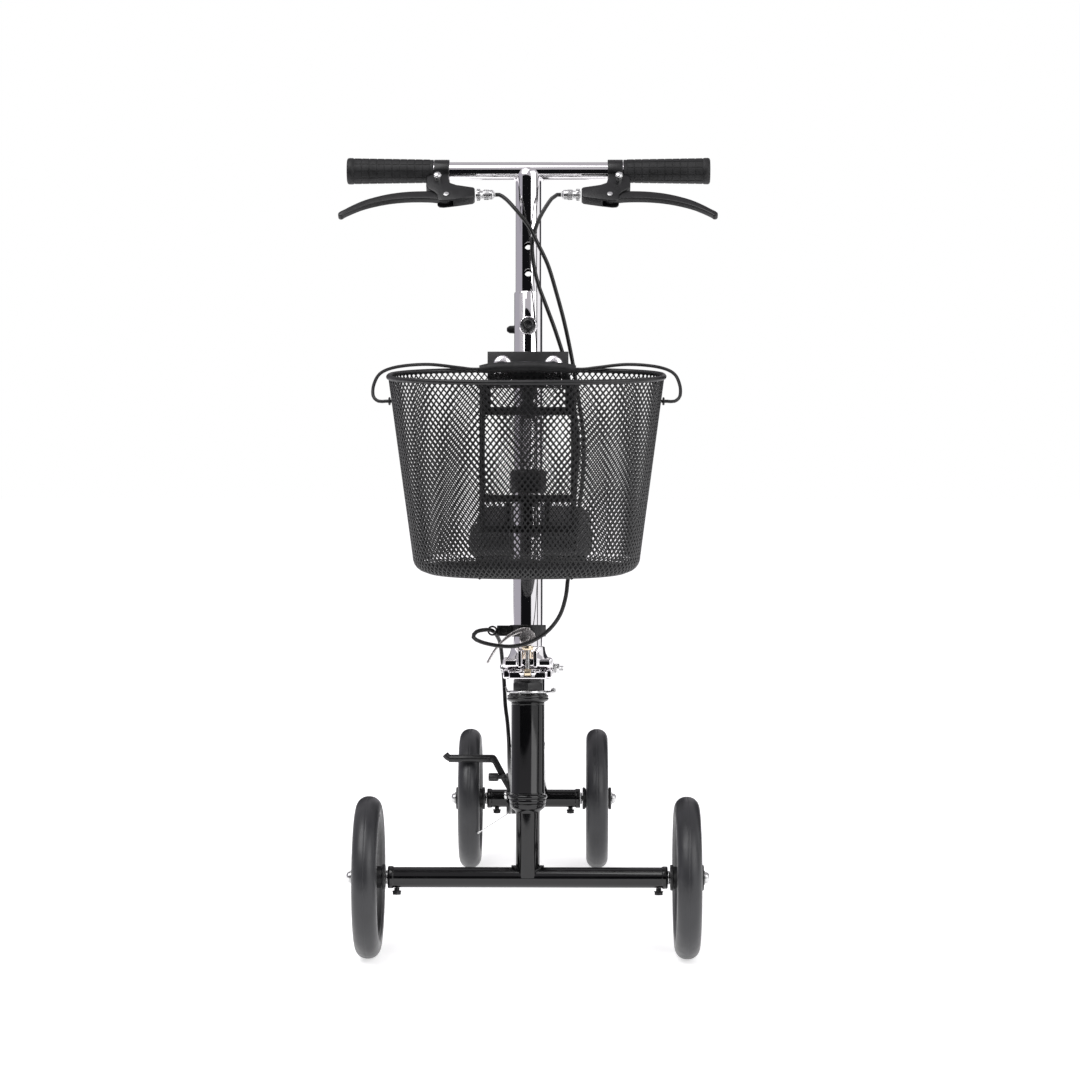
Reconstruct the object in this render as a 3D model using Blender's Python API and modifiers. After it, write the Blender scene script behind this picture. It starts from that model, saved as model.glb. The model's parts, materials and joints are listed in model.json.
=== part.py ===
"""Knee scooter: four small wheels, a steered front end, a folding column and a padded knee rest.

Metres, +Z up, the rider faces -Y, and the floor is at Z = 0. "left" and "right" are the rider's own,
so left is +X. Everything that steers is placed in the steering frame: its origin is the middle of the
front axle line, and its Z runs up the steering axis, which leans back by RAKE.
"""
import math

import bmesh
import bpy
from mathutils import Matrix, Vector

# ---- driving dimensions ----
WHEEL_R = 0.100
TYRE_WIDTH = 0.031
WHEELBASE = 0.600
FRONT_HALF_TRACK = 0.197
REAR_HALF_TRACK = 0.091
RAKE = math.radians(6.0)
GAP = 0.0003

HUB_WIDTH = 0.042
AXLE_R = 0.004
CROSSBAR_R = 0.0127
AXLE_SPACER = 0.003

HEAD_TUBE_R = 0.02065
HEAD_TUBE_LOW = 0.1029
HEAD_TUBE_HIGH = 0.2170
STEERER_R = 0.0127
CUP_HEIGHT = 0.0107
LOCKNUT_LOW = 0.2313
HINGE_LOW = 0.2455
HINGE_SPLIT = 0.2585
HINGE_HALF_WIDTH = 0.0308
FOLD_Y = 0.0260
LATCH_Y = -0.0300
LATCH_Z = 0.2540
CAM_R = 0.0099
CAM_Z = 0.2968

COLUMN_R = 0.01825
COLUMN_UPPER_R = 0.0175
COLUMN_BORE_R = 0.0164
COLUMN_LOW = 0.2643
COLUMN_STEP = 0.4900
COLUMN_TOP = 0.7260
COLLAR_Z = 0.3052
CLAMP_BAND_Z = 0.4897
PIN_Z = 0.6828
PIN_PITCH = 0.0332

STEM_R = 0.0159
STEM_LOW = 0.5530
BAR_Z = 0.8778
BAR_R = 0.0111
BAR_HALF = 0.2230
GRIP_INNER = 0.1180
GRIP_OUTER = 0.2260
LEVER_DROOP = math.radians(50.0)
LEVER_PIVOT_X = 0.1010
LEVER_REACH = 0.0500
LEVER_THICKNESS = 0.0080

BRACKET_FRONT_Y = -0.0285
BRACKET_THICKNESS = 0.0030
BASKET_WIDTH = 0.333
BASKET_DEPTH = 0.250
BASKET_HEIGHT = 0.232
BASKET_TAPER = 0.0300
BASKET_WALL = 0.0020
BASKET_RIM_R = 0.0030
BASKET_DROOP = math.radians(2.4)
BASKET_REAR_Y = -0.0340
BASKET_RIM_Z = 0.6266
HANDLE_PIVOT_DROP = 0.0300

MAIN_TUBE_R = 0.0200
MAIN_TUBE_FRONT_Z = 0.2640
MAIN_TUBE_REAR_Z = 0.1080
SEAT_Y_FROM_AXLE = 0.4500
SEAT_TUBE_R = 0.0170
SEAT_TUBE_BORE_R = 0.0150
SEAT_TUBE_LOW = 0.1320
SEAT_TUBE_HIGH = 0.3000
SEAT_POST_R = 0.0143
SEAT_POST_LOW = 0.2150
SEAT_KNOB_Z = 0.2760
PAD_WIDTH = 0.178
PAD_LENGTH = 0.350
PAD_THICKNESS = 0.050
PAD_LOW = 0.4720
BOARD_THICKNESS = 0.008

BRAKE_Y_FROM_AXLE = 0.5180
BRAKE_PIVOT_Z = 0.1180
BRAKE_BAR_Z = 0.1700
BRAKE_STRIP = 0.0090
BRAKE_HUB_X = 0.0315
CABLE_R = 0.0025

# The origin is the middle of the scooter's length, between the basket's front rim and the rear tyres.
BASKET_FRONT_FROM_AXLE = (
    BASKET_REAR_Y * math.cos(RAKE) + BASKET_RIM_Z * math.sin(RAKE) - BASKET_DEPTH * math.cos(BASKET_DROOP)
)
FRONT_AXLE_Y = -(WHEELBASE + WHEEL_R + BASKET_FRONT_FROM_AXLE) / 2
REAR_AXLE_Y = FRONT_AXLE_Y + WHEELBASE
SEAT_Y = FRONT_AXLE_Y + SEAT_Y_FROM_AXLE
BRAKE_Y = FRONT_AXLE_Y + BRAKE_Y_FROM_AXLE
PAD_Y = FRONT_AXLE_Y + 0.465

SIDES = (("left", 1), ("right", -1))
ALONG_X = (0, math.pi / 2, 0)
ALONG_Y = (-math.pi / 2, 0, 0)
UPRIGHT = (0, 0, 0)

# ---- scene and collections ----
for old in list(bpy.data.objects):
    bpy.data.objects.remove(old, do_unlink=True)


def new_collection(name):
    made = bpy.data.collections.new(name)
    bpy.context.scene.collection.children.link(made)
    return made


SCOOTER = new_collection("knee_scooter")
TOOLS = new_collection("cutters")
TOOLS.hide_render = True


def new_material(name, colour, roughness, metallic=0.0):
    made = bpy.data.materials.new(name)
    made.use_nodes = True
    shader = made.node_tree.nodes["Principled BSDF"]
    shader.inputs["Base Color"].default_value = (*colour, 1.0)
    shader.inputs["Roughness"].default_value = roughness
    shader.inputs["Metallic"].default_value = metallic
    return made


GLOSS_BLACK = new_material("gloss_black", (0.012, 0.012, 0.013), 0.22)
SATIN_BLACK = new_material("satin_black", (0.02, 0.02, 0.021), 0.45)
CHROME = new_material("chrome", (0.86, 0.87, 0.88), 0.08, 1.0)
STEEL = new_material("zinc_steel", (0.62, 0.62, 0.62), 0.3, 1.0)
CAST = new_material("cast_aluminium", (0.45, 0.45, 0.46), 0.35, 1.0)
BRASS = new_material("brass", (0.72, 0.58, 0.34), 0.3, 1.0)
TYRE = new_material("grey_tyre", (0.045, 0.047, 0.05), 0.6)
RIM = new_material("rim_plastic", (0.015, 0.015, 0.016), 0.4)
RUBBER = new_material("grip_rubber", (0.02, 0.02, 0.02), 0.75)
VINYL = new_material("pad_vinyl", (0.02, 0.02, 0.022), 0.5)
CABLE = new_material("cable_sheath", (0.012, 0.012, 0.012), 0.4)


# ---- joint axes: one empty each, parents of what moves on them ----
def new_axis(name, at=(0, 0, 0), parent=None, turn=UPRIGHT):
    """An empty at a place given in its frame's own coordinates."""
    empty = bpy.data.objects.new(name, None)
    empty.empty_display_size = 0.03
    empty["frame_at"] = tuple(at)
    empty.location = Vector(at) - frame_origin(parent)
    empty.rotation_euler = turn
    empty.parent = parent
    SCOOTER.objects.link(empty)
    return empty


def frame_origin(empty):
    """Where an axis stands in the frame that its pieces are placed in."""
    if empty is None or empty.get("own_frame"):
        return Vector((0, 0, 0))
    return Vector(empty["frame_at"])


def new_frame(name, at, parent, turn):
    """An axis that is the origin of its own frame."""
    empty = new_axis(name, at, parent, turn)
    empty["own_frame"] = True
    return empty


STEERING = new_frame("steering_axis", (0, FRONT_AXLE_Y, WHEEL_R), None, (-RAKE, 0, 0))
FOLD = new_axis("fold_axis", (0, FOLD_Y, HINGE_SPLIT), STEERING)
LATCH = new_axis("latch_axis", (0, LATCH_Y, LATCH_Z), STEERING)
CAM = new_axis("cam_axis", (0, LATCH_Y, CAM_Z), LATCH)
BAR = new_axis("bar_slide_axis", (0, 0, BAR_Z), FOLD)
HEIGHT_PIN = new_axis("height_pin_axis", (0, -COLUMN_UPPER_R, PIN_Z), FOLD)
CLAMP_SCREW = new_axis("clamp_screw_axis", (0, COLUMN_UPPER_R, PIN_Z), FOLD)
BASKET = new_frame(
    "basket_frame",
    (0, BASKET_REAR_Y, BASKET_RIM_Z),
    FOLD,
    (RAKE + BASKET_DROOP, 0, 0),
)
HANDLE = new_axis("handle_axis", (0, -BASKET_DEPTH / 2, -HANDLE_PIVOT_DROP), BASKET)
SEAT = new_axis("seat_slide_axis", (0, SEAT_Y, SEAT_TUBE_HIGH))
SEAT_PIN = new_axis("seat_pin_axis", (0, SEAT_Y + SEAT_TUBE_R, SEAT_KNOB_Z))
BRAKE = new_axis("brake_axis", (-BRAKE_HUB_X, BRAKE_Y, BRAKE_PIVOT_Z))
LEVERS = {
    side: new_frame(
        "lever_plane_" + side,
        (0, 0, BAR_Z),
        BAR,
        (LEVER_DROOP, 0, 0),
    )
    for side, _ in SIDES
}
LEVER_AXES = {
    side: new_axis("lever_axis_" + side, (sign * LEVER_PIVOT_X, -LEVER_REACH, 0), LEVERS[side])
    for side, sign in SIDES
}
WHEEL_AXES = {}
for side, sign in SIDES:
    WHEEL_AXES["front_" + side] = new_axis(
        "front_wheel_axis_" + side, (sign * FRONT_HALF_TRACK, 0, 0), STEERING, (RAKE, 0, 0)
    )
    WHEEL_AXES["rear_" + side] = new_axis(
        "rear_wheel_axis_" + side, (sign * REAR_HALF_TRACK, REAR_AXLE_Y, WHEEL_R)
    )


# ---- makers ----
def add(name, data, finish, parent, at, turn=UPRIGHT):
    """An object placed at a point of its parent's frame."""
    made = bpy.data.objects.new(name, data)
    if finish is not None:
        data.materials.append(finish)
    made.parent = parent
    made.location = Vector(at) - frame_origin(parent)
    made.rotation_euler = turn
    SCOOTER.objects.link(made)
    return made


def from_bmesh(name, work, finish, parent, at, turn=UPRIGHT, smooth=True):
    mesh = bpy.data.meshes.new(name)
    work.to_mesh(mesh)
    work.free()
    if smooth:
        mesh.shade_smooth()
        mesh.set_sharp_from_angle(angle=math.radians(35))
    return add(name, mesh, finish, parent, at, turn)


def block(name, size, finish, parent, at, turn=UPRIGHT, bevel=0.0):
    work = bmesh.new()
    bmesh.ops.create_cube(work, size=1.0)
    bmesh.ops.scale(work, vec=size, verts=work.verts)
    made = from_bmesh(name, work, finish, parent, at, turn, smooth=False)
    if bevel:
        rounding = made.modifiers.new("Rounding", "BEVEL")
        rounding.width = bevel
        rounding.segments = 1
    return made


def rod(name, radius, length, finish, parent, at, turn=UPRIGHT, sides=20):
    """A cylinder, hexagon or cone centred on its place."""
    work = bmesh.new()
    bmesh.ops.create_cone(
        work,
        cap_ends=True,
        segments=sides,
        radius1=radius,
        radius2=radius,
        depth=length,
    )
    return from_bmesh(name, work, finish, parent, at, turn)


def turned(name, profile, finish, parent, at, turn=UPRIGHT, steps=20, ring=False):
    """A profile of (radius, height) points, outer side first and top down, spun about local Z."""
    mesh = bpy.data.meshes.new(name)
    count = len(profile)
    edges = [(index, index + 1) for index in range(count - 1)]
    if ring:
        edges.append((count - 1, 0))
    mesh.from_pydata([(radius, 0, height) for radius, height in profile], edges, [])
    made = add(name, mesh, finish, parent, at, turn)
    spin = made.modifiers.new("Spin", "SCREW")
    spin.steps = steps
    spin.render_steps = steps
    spin.use_merge_vertices = True
    spin.merge_threshold = 0.00001
    spin.use_smooth_shade = True
    return made


def sleeve(name, outer, inner, low, high, finish, parent, at=(0, 0, 0), turn=UPRIGHT, steps=20):
    """A plain tube from one height to another."""
    profile = [(outer, high), (outer, low), (inner, low), (inner, high)]
    return turned(name, profile, finish, parent, at, turn, steps, ring=True)


def smooth_route(points, spacing):
    """A Catmull-Rom curve through the route's own points, read at nearly even steps."""
    route = [Vector(point) for point in points]
    ends = [2 * route[0] - route[1]] + route + [2 * route[-1] - route[-2]]
    found = [route[0]]
    for before, start, end, after in zip(ends, ends[1:], ends[2:], ends[3:]):
        steps = max(1, round((end - start).length / spacing))
        for step in range(1, steps + 1):
            t = step / steps
            found.append(
                0.5 * (
                    2 * start
                    + (end - before) * t
                    + (2 * before - 5 * start + 4 * end - after) * t * t
                    + (3 * start - before - 3 * end + after) * t ** 3
                )
            )
    return found


def wire(name, route, radius, finish, parent=None, cyclic=False, bevel_resolution=2):
    """A round wire along points of its parent's frame."""
    curve = bpy.data.curves.new(name, "CURVE")
    curve.dimensions = "3D"
    curve.bevel_depth = radius
    curve.bevel_resolution = bevel_resolution
    curve.use_fill_caps = True
    spline = curve.splines.new("POLY")
    spline.points.add(len(route) - 1)
    for slot, point in zip(spline.points, route):
        slot.co = (*point, 1.0)
    spline.use_cyclic_u = cyclic
    return add(name, curve, finish, parent, (0, 0, 0))


def plate(name, outlines, thickness, finish, parent, at, turn=UPRIGHT):
    """A flat outline with any windows, centred on its own plane, as a mesh that can be cut or joined."""
    curve = bpy.data.curves.new(name, "CURVE")
    curve.dimensions = "2D"
    curve.fill_mode = "BOTH"
    curve.extrude = thickness / 2
    for outline in outlines:
        spline = curve.splines.new("POLY")
        spline.points.add(len(outline) - 1)
        for slot, (across, along) in zip(spline.points, outline):
            slot.co = (across, along, 0.0, 1.0)
        spline.use_cyclic_u = True
    return as_mesh(add(name, curve, finish, parent, at, turn))


def as_mesh(drawn):
    """A curve's evaluated mesh, welded, in its place and under its name."""
    bpy.context.view_layer.update()
    evaluated = drawn.evaluated_get(bpy.context.evaluated_depsgraph_get())
    mesh = bpy.data.meshes.new_from_object(evaluated)
    work = bmesh.new()
    work.from_mesh(mesh)
    bmesh.ops.remove_doubles(work, verts=work.verts, dist=0.00001)
    bmesh.ops.recalc_face_normals(work, faces=work.faces)
    work.to_mesh(mesh)
    work.free()
    name = drawn.name
    made = bpy.data.objects.new(name + "_mesh", mesh)
    made.parent = drawn.parent
    made.matrix_local = drawn.matrix_local
    SCOOTER.objects.link(made)
    bpy.data.objects.remove(drawn, do_unlink=True)
    made.name = name
    return made


def set_aside(helper):
    """Makes an object a helper that only shapes others."""
    SCOOTER.objects.unlink(helper)
    TOOLS.objects.link(helper)
    helper.hide_render = True
    helper.display_type = "WIRE"


def combine(piece, operation, helpers):
    for helper in helpers:
        step = piece.modifiers.new(operation.title(), "BOOLEAN")
        step.operation = operation
        step.solver = "EXACT"
        step.object = helper
        set_aside(helper)
    return piece


def join(piece, *helpers):
    return combine(piece, "UNION", helpers)


def cut(piece, *helpers):
    return combine(piece, "DIFFERENCE", helpers)


def rod_between(name, start, end, radius, finish, parent=None, sides=20):
    start = Vector(start)
    end = Vector(end)
    along = end - start
    made = rod(name, radius, along.length, finish, parent, (start + end) / 2, UPRIGHT, sides)
    made.rotation_euler = along.to_track_quat("Z", "X").to_euler()
    return made


# ---- wheels and axles ----
def make_wheel(place, axis):
    """A crowned solid tyre on a five-spoke plastic rim."""
    half = TYRE_WIDTH / 2
    tyre_profile = [
        (0.0780, half - 0.0030),
        (0.0900, half),
        (0.0970, half - 0.0040),
        (WHEEL_R, half - 0.0110),
        (WHEEL_R, -half + 0.0110),
        (0.0970, -half + 0.0040),
        (0.0900, -half),
        (0.0780, -half + 0.0030),
    ]
    centre = axis["frame_at"]
    turned("tyre_" + place, tyre_profile, TYRE, axis, centre, ALONG_X, 28, ring=True)
    hub = HUB_WIDTH / 2 - GAP
    rim_profile = [
        (0.0044, hub),
        (0.0155, hub),
        (0.0155, 0.0060),
        (0.0620, 0.0060),
        (0.0620, 0.0105),
        (0.0772, 0.0105),
        (0.0772, -0.0105),
        (0.0620, -0.0105),
        (0.0620, -0.0060),
        (0.0155, -0.0060),
        (0.0155, -hub),
        (0.0044, -hub),
    ]
    rim = turned("rim_" + place, rim_profile, RIM, axis, centre, ALONG_X, 16, ring=True)
    spokes = 5
    half_angle = math.pi / spokes
    for index in range(spokes):
        middle = 2 * half_angle * index
        near = [(0.0225, middle - 0.30), (0.0225, middle + 0.30)]
        far = [(0.0575, middle + 0.50), (0.0590, middle), (0.0575, middle - 0.50)]
        outline = [(radius * math.cos(angle), radius * math.sin(angle)) for radius, angle in near + far]
        cut(rim, plate("window_%s_%d" % (place, index), [outline], 0.030, None, axis, centre, ALONG_X))


def axle_bolt(place, sign, centre_x, parent, axle_y, axle_z):
    """A dome-headed bolt through the hub, with its spacer against the crossbar end."""
    inner = centre_x - HUB_WIDTH / 2
    outer = centre_x + HUB_WIDTH / 2
    profile = [
        (0.0, outer + 0.0070),
        (0.0045, outer + 0.0062),
        (0.0075, outer + 0.0030),
        (0.0080, outer + GAP),
        (AXLE_R, outer + GAP),
        (AXLE_R, inner - GAP),
        (0.0085, inner - GAP),
        (0.0085, inner - AXLE_SPACER + GAP),
        (0.0, inner - AXLE_SPACER + GAP),
    ]
    turned(place, profile, STEEL, parent, (0, axle_y, axle_z), (0, sign * math.pi / 2, 0), 16)


def clamp_bolt(place, x, parent, y, z):
    """A hexagon-headed screw under a crossbar end."""
    neck_top = z - CROSSBAR_R - GAP
    head = rod(place, 0.0058, 0.0055, SATIN_BLACK, parent, (x, y, neck_top - 0.0060), sides=6)
    join(head, rod(place + "_neck", 0.0034, 0.0045, None, parent, (x, y, neck_top - 0.00225), sides=12))


for place, axis in WHEEL_AXES.items():
    make_wheel(place, axis)
for side, sign in SIDES:
    axle_bolt("front_axle_bolt_" + side, sign, FRONT_HALF_TRACK, STEERING, 0, 0)
    axle_bolt("rear_axle_bolt_" + side, sign, REAR_HALF_TRACK, None, REAR_AXLE_Y, WHEEL_R)
    clamp_bolt("front_clamp_bolt_" + side, sign * 0.1620, STEERING, 0, 0)
    clamp_bolt("rear_clamp_bolt_" + side, sign * 0.053, None, REAR_AXLE_Y, WHEEL_R)


# ---- frame: head tube, main tube, seat tube and rear crossbar, welded ----
def crossbar(name, half_track, finish, parent, at):
    """A crossbar with a slightly larger bushing at each end."""
    end = half_track - HUB_WIDTH / 2 - AXLE_SPACER
    bush = CROSSBAR_R + 0.0012
    bush_start = end - 0.0070
    profile = [
        (0.0, end),
        (bush, end),
        (bush, bush_start),
        (CROSSBAR_R, bush_start),
        (CROSSBAR_R, -bush_start),
        (bush, -bush_start),
        (bush, -end),
        (0.0, -end),
    ]
    return turned(name, profile, finish, parent, at, ALONG_X)


def make_frame():
    head_y = FRONT_AXLE_Y + (MAIN_TUBE_FRONT_Z - WHEEL_R) * math.tan(RAKE)
    frame = rod_between(
        "frame", (0, head_y, MAIN_TUBE_FRONT_Z), (0, REAR_AXLE_Y, MAIN_TUBE_REAR_Z), MAIN_TUBE_R, GLOSS_BLACK
    )
    head_length = HEAD_TUBE_HIGH - HEAD_TUBE_LOW
    head_middle = (0, 0, (HEAD_TUBE_HIGH + HEAD_TUBE_LOW) / 2)
    seat_length = SEAT_TUBE_HIGH - SEAT_TUBE_LOW
    seat_middle = (0, SEAT_Y, (SEAT_TUBE_HIGH + SEAT_TUBE_LOW) / 2)
    pivot_x = -(BRAKE_HUB_X - 0.0053 + 0.0150) / 2
    stop_y = FRONT_AXLE_Y + 0.469
    join(
        frame,
        rod("head_tube", HEAD_TUBE_R, head_length, None, STEERING, head_middle),
        rod("seat_tube", SEAT_TUBE_R, seat_length, None, None, seat_middle),
        crossbar("rear_crossbar", REAR_HALF_TRACK, None, None, (0, REAR_AXLE_Y, WHEEL_R)),
        rod("brake_boss", 0.0060, 0.0112, None, None, (pivot_x, BRAKE_Y, BRAKE_PIVOT_Z), ALONG_X, 16),
        block("cable_stop", (0.0200, 0.0060, 0.0340), None, None, (-0.0265, stop_y, 0.1170)),
        rod(
            "pin_boss", 0.0100, 0.0080, None, None,
            (0, SEAT_Y + SEAT_TUBE_R + 0.0010, SEAT_KNOB_Z), ALONG_Y, 16,
        ),
    )
    cut(
        frame,
        rod("head_bore", 0.0145, 0.160, None, STEERING, head_middle),
        rod("seat_bore", SEAT_TUBE_BORE_R, 0.220, None, None, (0, SEAT_Y, 0.2300)),
        rod("pin_bore", 0.0044, 0.0160, None, None, (0, SEAT_Y + 0.0200, SEAT_KNOB_Z), ALONG_Y, 12),
    )


make_frame()


# ---- seat: post, board, pad and the pull pin that sets its height ----
def make_seat():
    board_low = PAD_LOW - BOARD_THICKNESS - GAP
    post_top = board_low - GAP
    profile = [
        (0.0, post_top),
        (0.0350, post_top),
        (0.0350, post_top - 0.0040),
        (SEAT_POST_R, post_top - 0.0060),
        (SEAT_POST_R, SEAT_POST_LOW),
        (0.0, SEAT_POST_LOW),
    ]
    turned("seat_post", profile, CHROME, SEAT, (0, SEAT_Y, 0))
    block(
        "pad_board",
        (PAD_WIDTH - 0.030, PAD_LENGTH - 0.030, BOARD_THICKNESS - GAP),
        SATIN_BLACK,
        SEAT,
        (0, PAD_Y, board_low + BOARD_THICKNESS / 2),
        bevel=0.002,
    )
    block(
        "knee_pad",
        (PAD_WIDTH, PAD_LENGTH, PAD_THICKNESS),
        VINYL,
        SEAT,
        (0, PAD_Y, PAD_LOW + PAD_THICKNESS / 2 + GAP),
        bevel=0.014,
    )
    face = SEAT_TUBE_R + 0.0050 + GAP
    knob = [
        (0.0, face + 0.0240),
        (0.0080, face + 0.0225),
        (0.0115, face + 0.0180),
        (0.0115, face + 0.0090),
        (0.0080, face),
        (0.0040, face),
        (0.0040, SEAT_TUBE_BORE_R + 0.0006),
        (0.0, SEAT_TUBE_BORE_R + 0.0006),
    ]
    turned("seat_height_knob", knob, SATIN_BLACK, SEAT_PIN, (0, SEAT_Y, SEAT_KNOB_Z), ALONG_Y, 16)


make_seat()


# ---- fork and headset ----
def make_fork():
    fork = crossbar("fork", FRONT_HALF_TRACK, GLOSS_BLACK, STEERING, (0, 0, 0))
    race_low = 0.0815
    stem = [
        (0.0, HINGE_LOW + 0.0080),
        (STEERER_R, HINGE_LOW + 0.0080),
        (STEERER_R, 0.0915),
        (0.0220, 0.0915),
        (0.0205, race_low + 0.0030),
        (0.0150, race_low),
        (0.0150, 0.0),
        (0.0, 0.0),
    ]
    join(fork, turned("fork_stem", stem, None, STEERING, (0, 0, 0)))
    bore = STEERER_R + 0.0006
    lower_low = HEAD_TUBE_LOW - GAP - CUP_HEIGHT
    sleeve("lower_headset_cup", 0.0240, bore, lower_low, HEAD_TUBE_LOW - GAP, GLOSS_BLACK, STEERING)
    upper_low = HEAD_TUBE_HIGH + GAP
    sleeve("upper_headset_cup", 0.0260, bore, upper_low, upper_low + CUP_HEIGHT, GLOSS_BLACK, STEERING)
    clip_low = upper_low + CUP_HEIGHT + GAP
    clip_high = LOCKNUT_LOW - GAP
    clip_middle = (clip_low + clip_high) / 2
    clip = sleeve("steering_clip", 0.0232, bore, clip_low, clip_high, CHROME, STEERING)
    for offset in (-0.0045, 0.0045):
        ear = block("ear", (0.0140, 0.0018, 0.0022), None, STEERING, (0.0285, offset, clip_middle))
        join(clip, ear)
    join(clip, rod("ear_screw", 0.0022, 0.0160, None, STEERING, (0.0315, 0, clip_middle), ALONG_Y, 8))
    nut = rod(
        "headset_locknut",
        0.0208,
        HINGE_LOW - GAP - LOCKNUT_LOW,
        SATIN_BLACK,
        STEERING,
        (0, 0, (HINGE_LOW - GAP + LOCKNUT_LOW) / 2),
        sides=6,
    )
    cut(nut, rod("nut_bore", bore, 0.040, None, STEERING, (0, 0, 0.2380)))


make_fork()


# ---- folding hinge and its latch ----
def make_hinge():
    """A base on the fork and a head under the column, with the fold pin behind and the latch in front."""
    plate_front = -0.0220
    knuckle_r = 0.0080
    base_high = HINGE_SPLIT - 0.0004
    base_height = base_high - HINGE_LOW
    base_rear = FOLD_Y - knuckle_r - 0.0010
    base = block(
        "hinge_base",
        (2 * HINGE_HALF_WIDTH, base_rear - plate_front, base_height),
        CHROME,
        STEERING,
        (0, (base_rear + plate_front) / 2, HINGE_LOW + base_height / 2),
        bevel=0.0020,
    )
    for side, sign in SIDES:
        knuckle_x = sign * (HINGE_HALF_WIDTH + 0.0162) / 2
        knuckle_width = HINGE_HALF_WIDTH - 0.0162
        lug = block(
            "base_lug_" + side,
            (knuckle_width, 0.0200, 0.0110),
            None,
            STEERING,
            (knuckle_x, FOLD_Y - 0.0090, HINGE_LOW + 0.0060),
        )
        knuckle = rod(
            "base_knuckle_" + side, knuckle_r, knuckle_width, None, STEERING,
            (knuckle_x, FOLD_Y, HINGE_SPLIT), ALONG_X, 20,
        )
        ear = rod(
            "latch_ear_" + side, 0.0049, 0.0044, None, STEERING,
            (sign * 0.0068, LATCH_Y, LATCH_Z), ALONG_X, 16,
        )
        ear_arm = block(
            "ear_arm_" + side, (0.0044, 0.0120, 0.0070), None, STEERING,
            (sign * 0.0068, LATCH_Y + 0.0060, LATCH_Z - 0.0012),
        )
        join(base, lug, knuckle, ear, ear_arm)
    cut(
        base,
        rod("steerer_bore", STEERER_R + GAP, 0.020, None, STEERING, (0, 0, HINGE_LOW - 0.0010)),
        rod("pin_hole", 0.0042, 0.080, None, STEERING, (0, FOLD_Y, HINGE_SPLIT), ALONG_X, 16),
        rod("latch_hole", 0.0022, 0.040, None, STEERING, (0, LATCH_Y, LATCH_Z), ALONG_X, 12),
    )

    head_low = HINGE_SPLIT
    head_high = 0.2710
    head_front = plate_front
    head_rear = FOLD_Y - 0.0090
    head = block(
        "hinge_head",
        (2 * HINGE_HALF_WIDTH, head_rear - head_front, head_high - head_low),
        CHROME,
        FOLD,
        (0, (head_rear + head_front) / 2, (head_low + head_high) / 2),
        bevel=0.0020,
    )
    boss = [
        (0.0, 0.2850),
        (0.0212, 0.2850),
        (0.0216, 0.2800),
        (0.0245, 0.2715),
        (0.0245, 0.2650),
        (0.0, 0.2650),
    ]
    tab_high = 0.2812
    join(
        head,
        turned("head_boss", boss, None, FOLD, (0, 0, 0)),
        block("head_lug", (0.0316, 0.0180, 0.0110), None, FOLD, (0, FOLD_Y - 0.0080, head_low + 0.0070)),
        rod("head_knuckle", knuckle_r, 0.0316, None, FOLD, (0, FOLD_Y, HINGE_SPLIT), ALONG_X, 20),
        block(
            "latch_tab", (0.0240, 0.0170, tab_high - 0.2596), None, FOLD,
            (0, LATCH_Y - 0.0030 + 0.0085, (tab_high + 0.2596) / 2),
        ),
    )
    cut(
        head,
        rod("column_socket", COLUMN_R + GAP, 0.040, None, FOLD, (0, 0, COLUMN_LOW + 0.0197)),
        rod("head_pin_hole", 0.0042, 0.060, None, FOLD, (0, FOLD_Y, HINGE_SPLIT), ALONG_X, 16),
        block("latch_slot", (0.0140, 0.0160, 0.0400), None, FOLD, (0, LATCH_Y - 0.0038, 0.2750)),
    )

    half = HINGE_HALF_WIDTH
    pin = [
        (0.0, half + 0.0130),
        (0.0030, half + 0.0130),
        (0.0030, half + 0.0095),
        (0.0062, half + 0.0090),
        (0.0062, half + 0.0010),
        (0.0068, half + GAP),
        (0.0038, half + GAP),
        (0.0038, -half - GAP),
        (0.0062, -half - GAP),
        (0.0056, -half - 0.0040),
        (0.0, -half - 0.0048),
    ]
    turned("hinge_pin", pin, STEEL, STEERING, (0, FOLD_Y, HINGE_SPLIT), ALONG_X, 12)

    bolt = rod("latch_bolt", 0.0030, 0.0290, STEEL, LATCH, (0, LATCH_Y, LATCH_Z + 0.0175), sides=12)
    join(bolt, rod("latch_eye", 0.0048, 0.0084, None, LATCH, (0, LATCH_Y, LATCH_Z), ALONG_X, 16))
    join(bolt, rod("eye_pin", 0.0019, 0.0210, None, LATCH, (0, LATCH_Y, LATCH_Z), ALONG_X, 10))
    washer_low = tab_high + GAP
    sleeve(
        "latch_washer", 0.0074, 0.0033, washer_low, washer_low + 0.0050, BRASS, LATCH,
        (0, LATCH_Y, 0), steps=16,
    )

    cam = rod("cam_lever", CAM_R, 0.0140, CAST, CAM, (0, LATCH_Y, CAM_Z), ALONG_Y, 20)
    blade = [
        (-0.0040, 0.3055),
        (-0.0200, 0.2990),
        (-0.0350, 0.2850),
        (-0.0485, 0.2640),
        (-0.0515, 0.2655),
        (-0.0385, 0.2885),
        (-0.0220, 0.3030),
        (-0.0040, 0.3085),
    ]
    blade_plate = plate(
        "cam_blade", [[(x, z - CAM_Z) for x, z in blade]], 0.0120, None, CAM,
        (0, LATCH_Y, CAM_Z), (math.pi / 2, 0, 0),
    )
    join(cam, blade_plate)
    cut(cam, rod("cam_slot", 0.0034, 0.0130, None, CAM, (0, LATCH_Y, CAM_Z - 0.0050), sides=12))


make_hinge()


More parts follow.
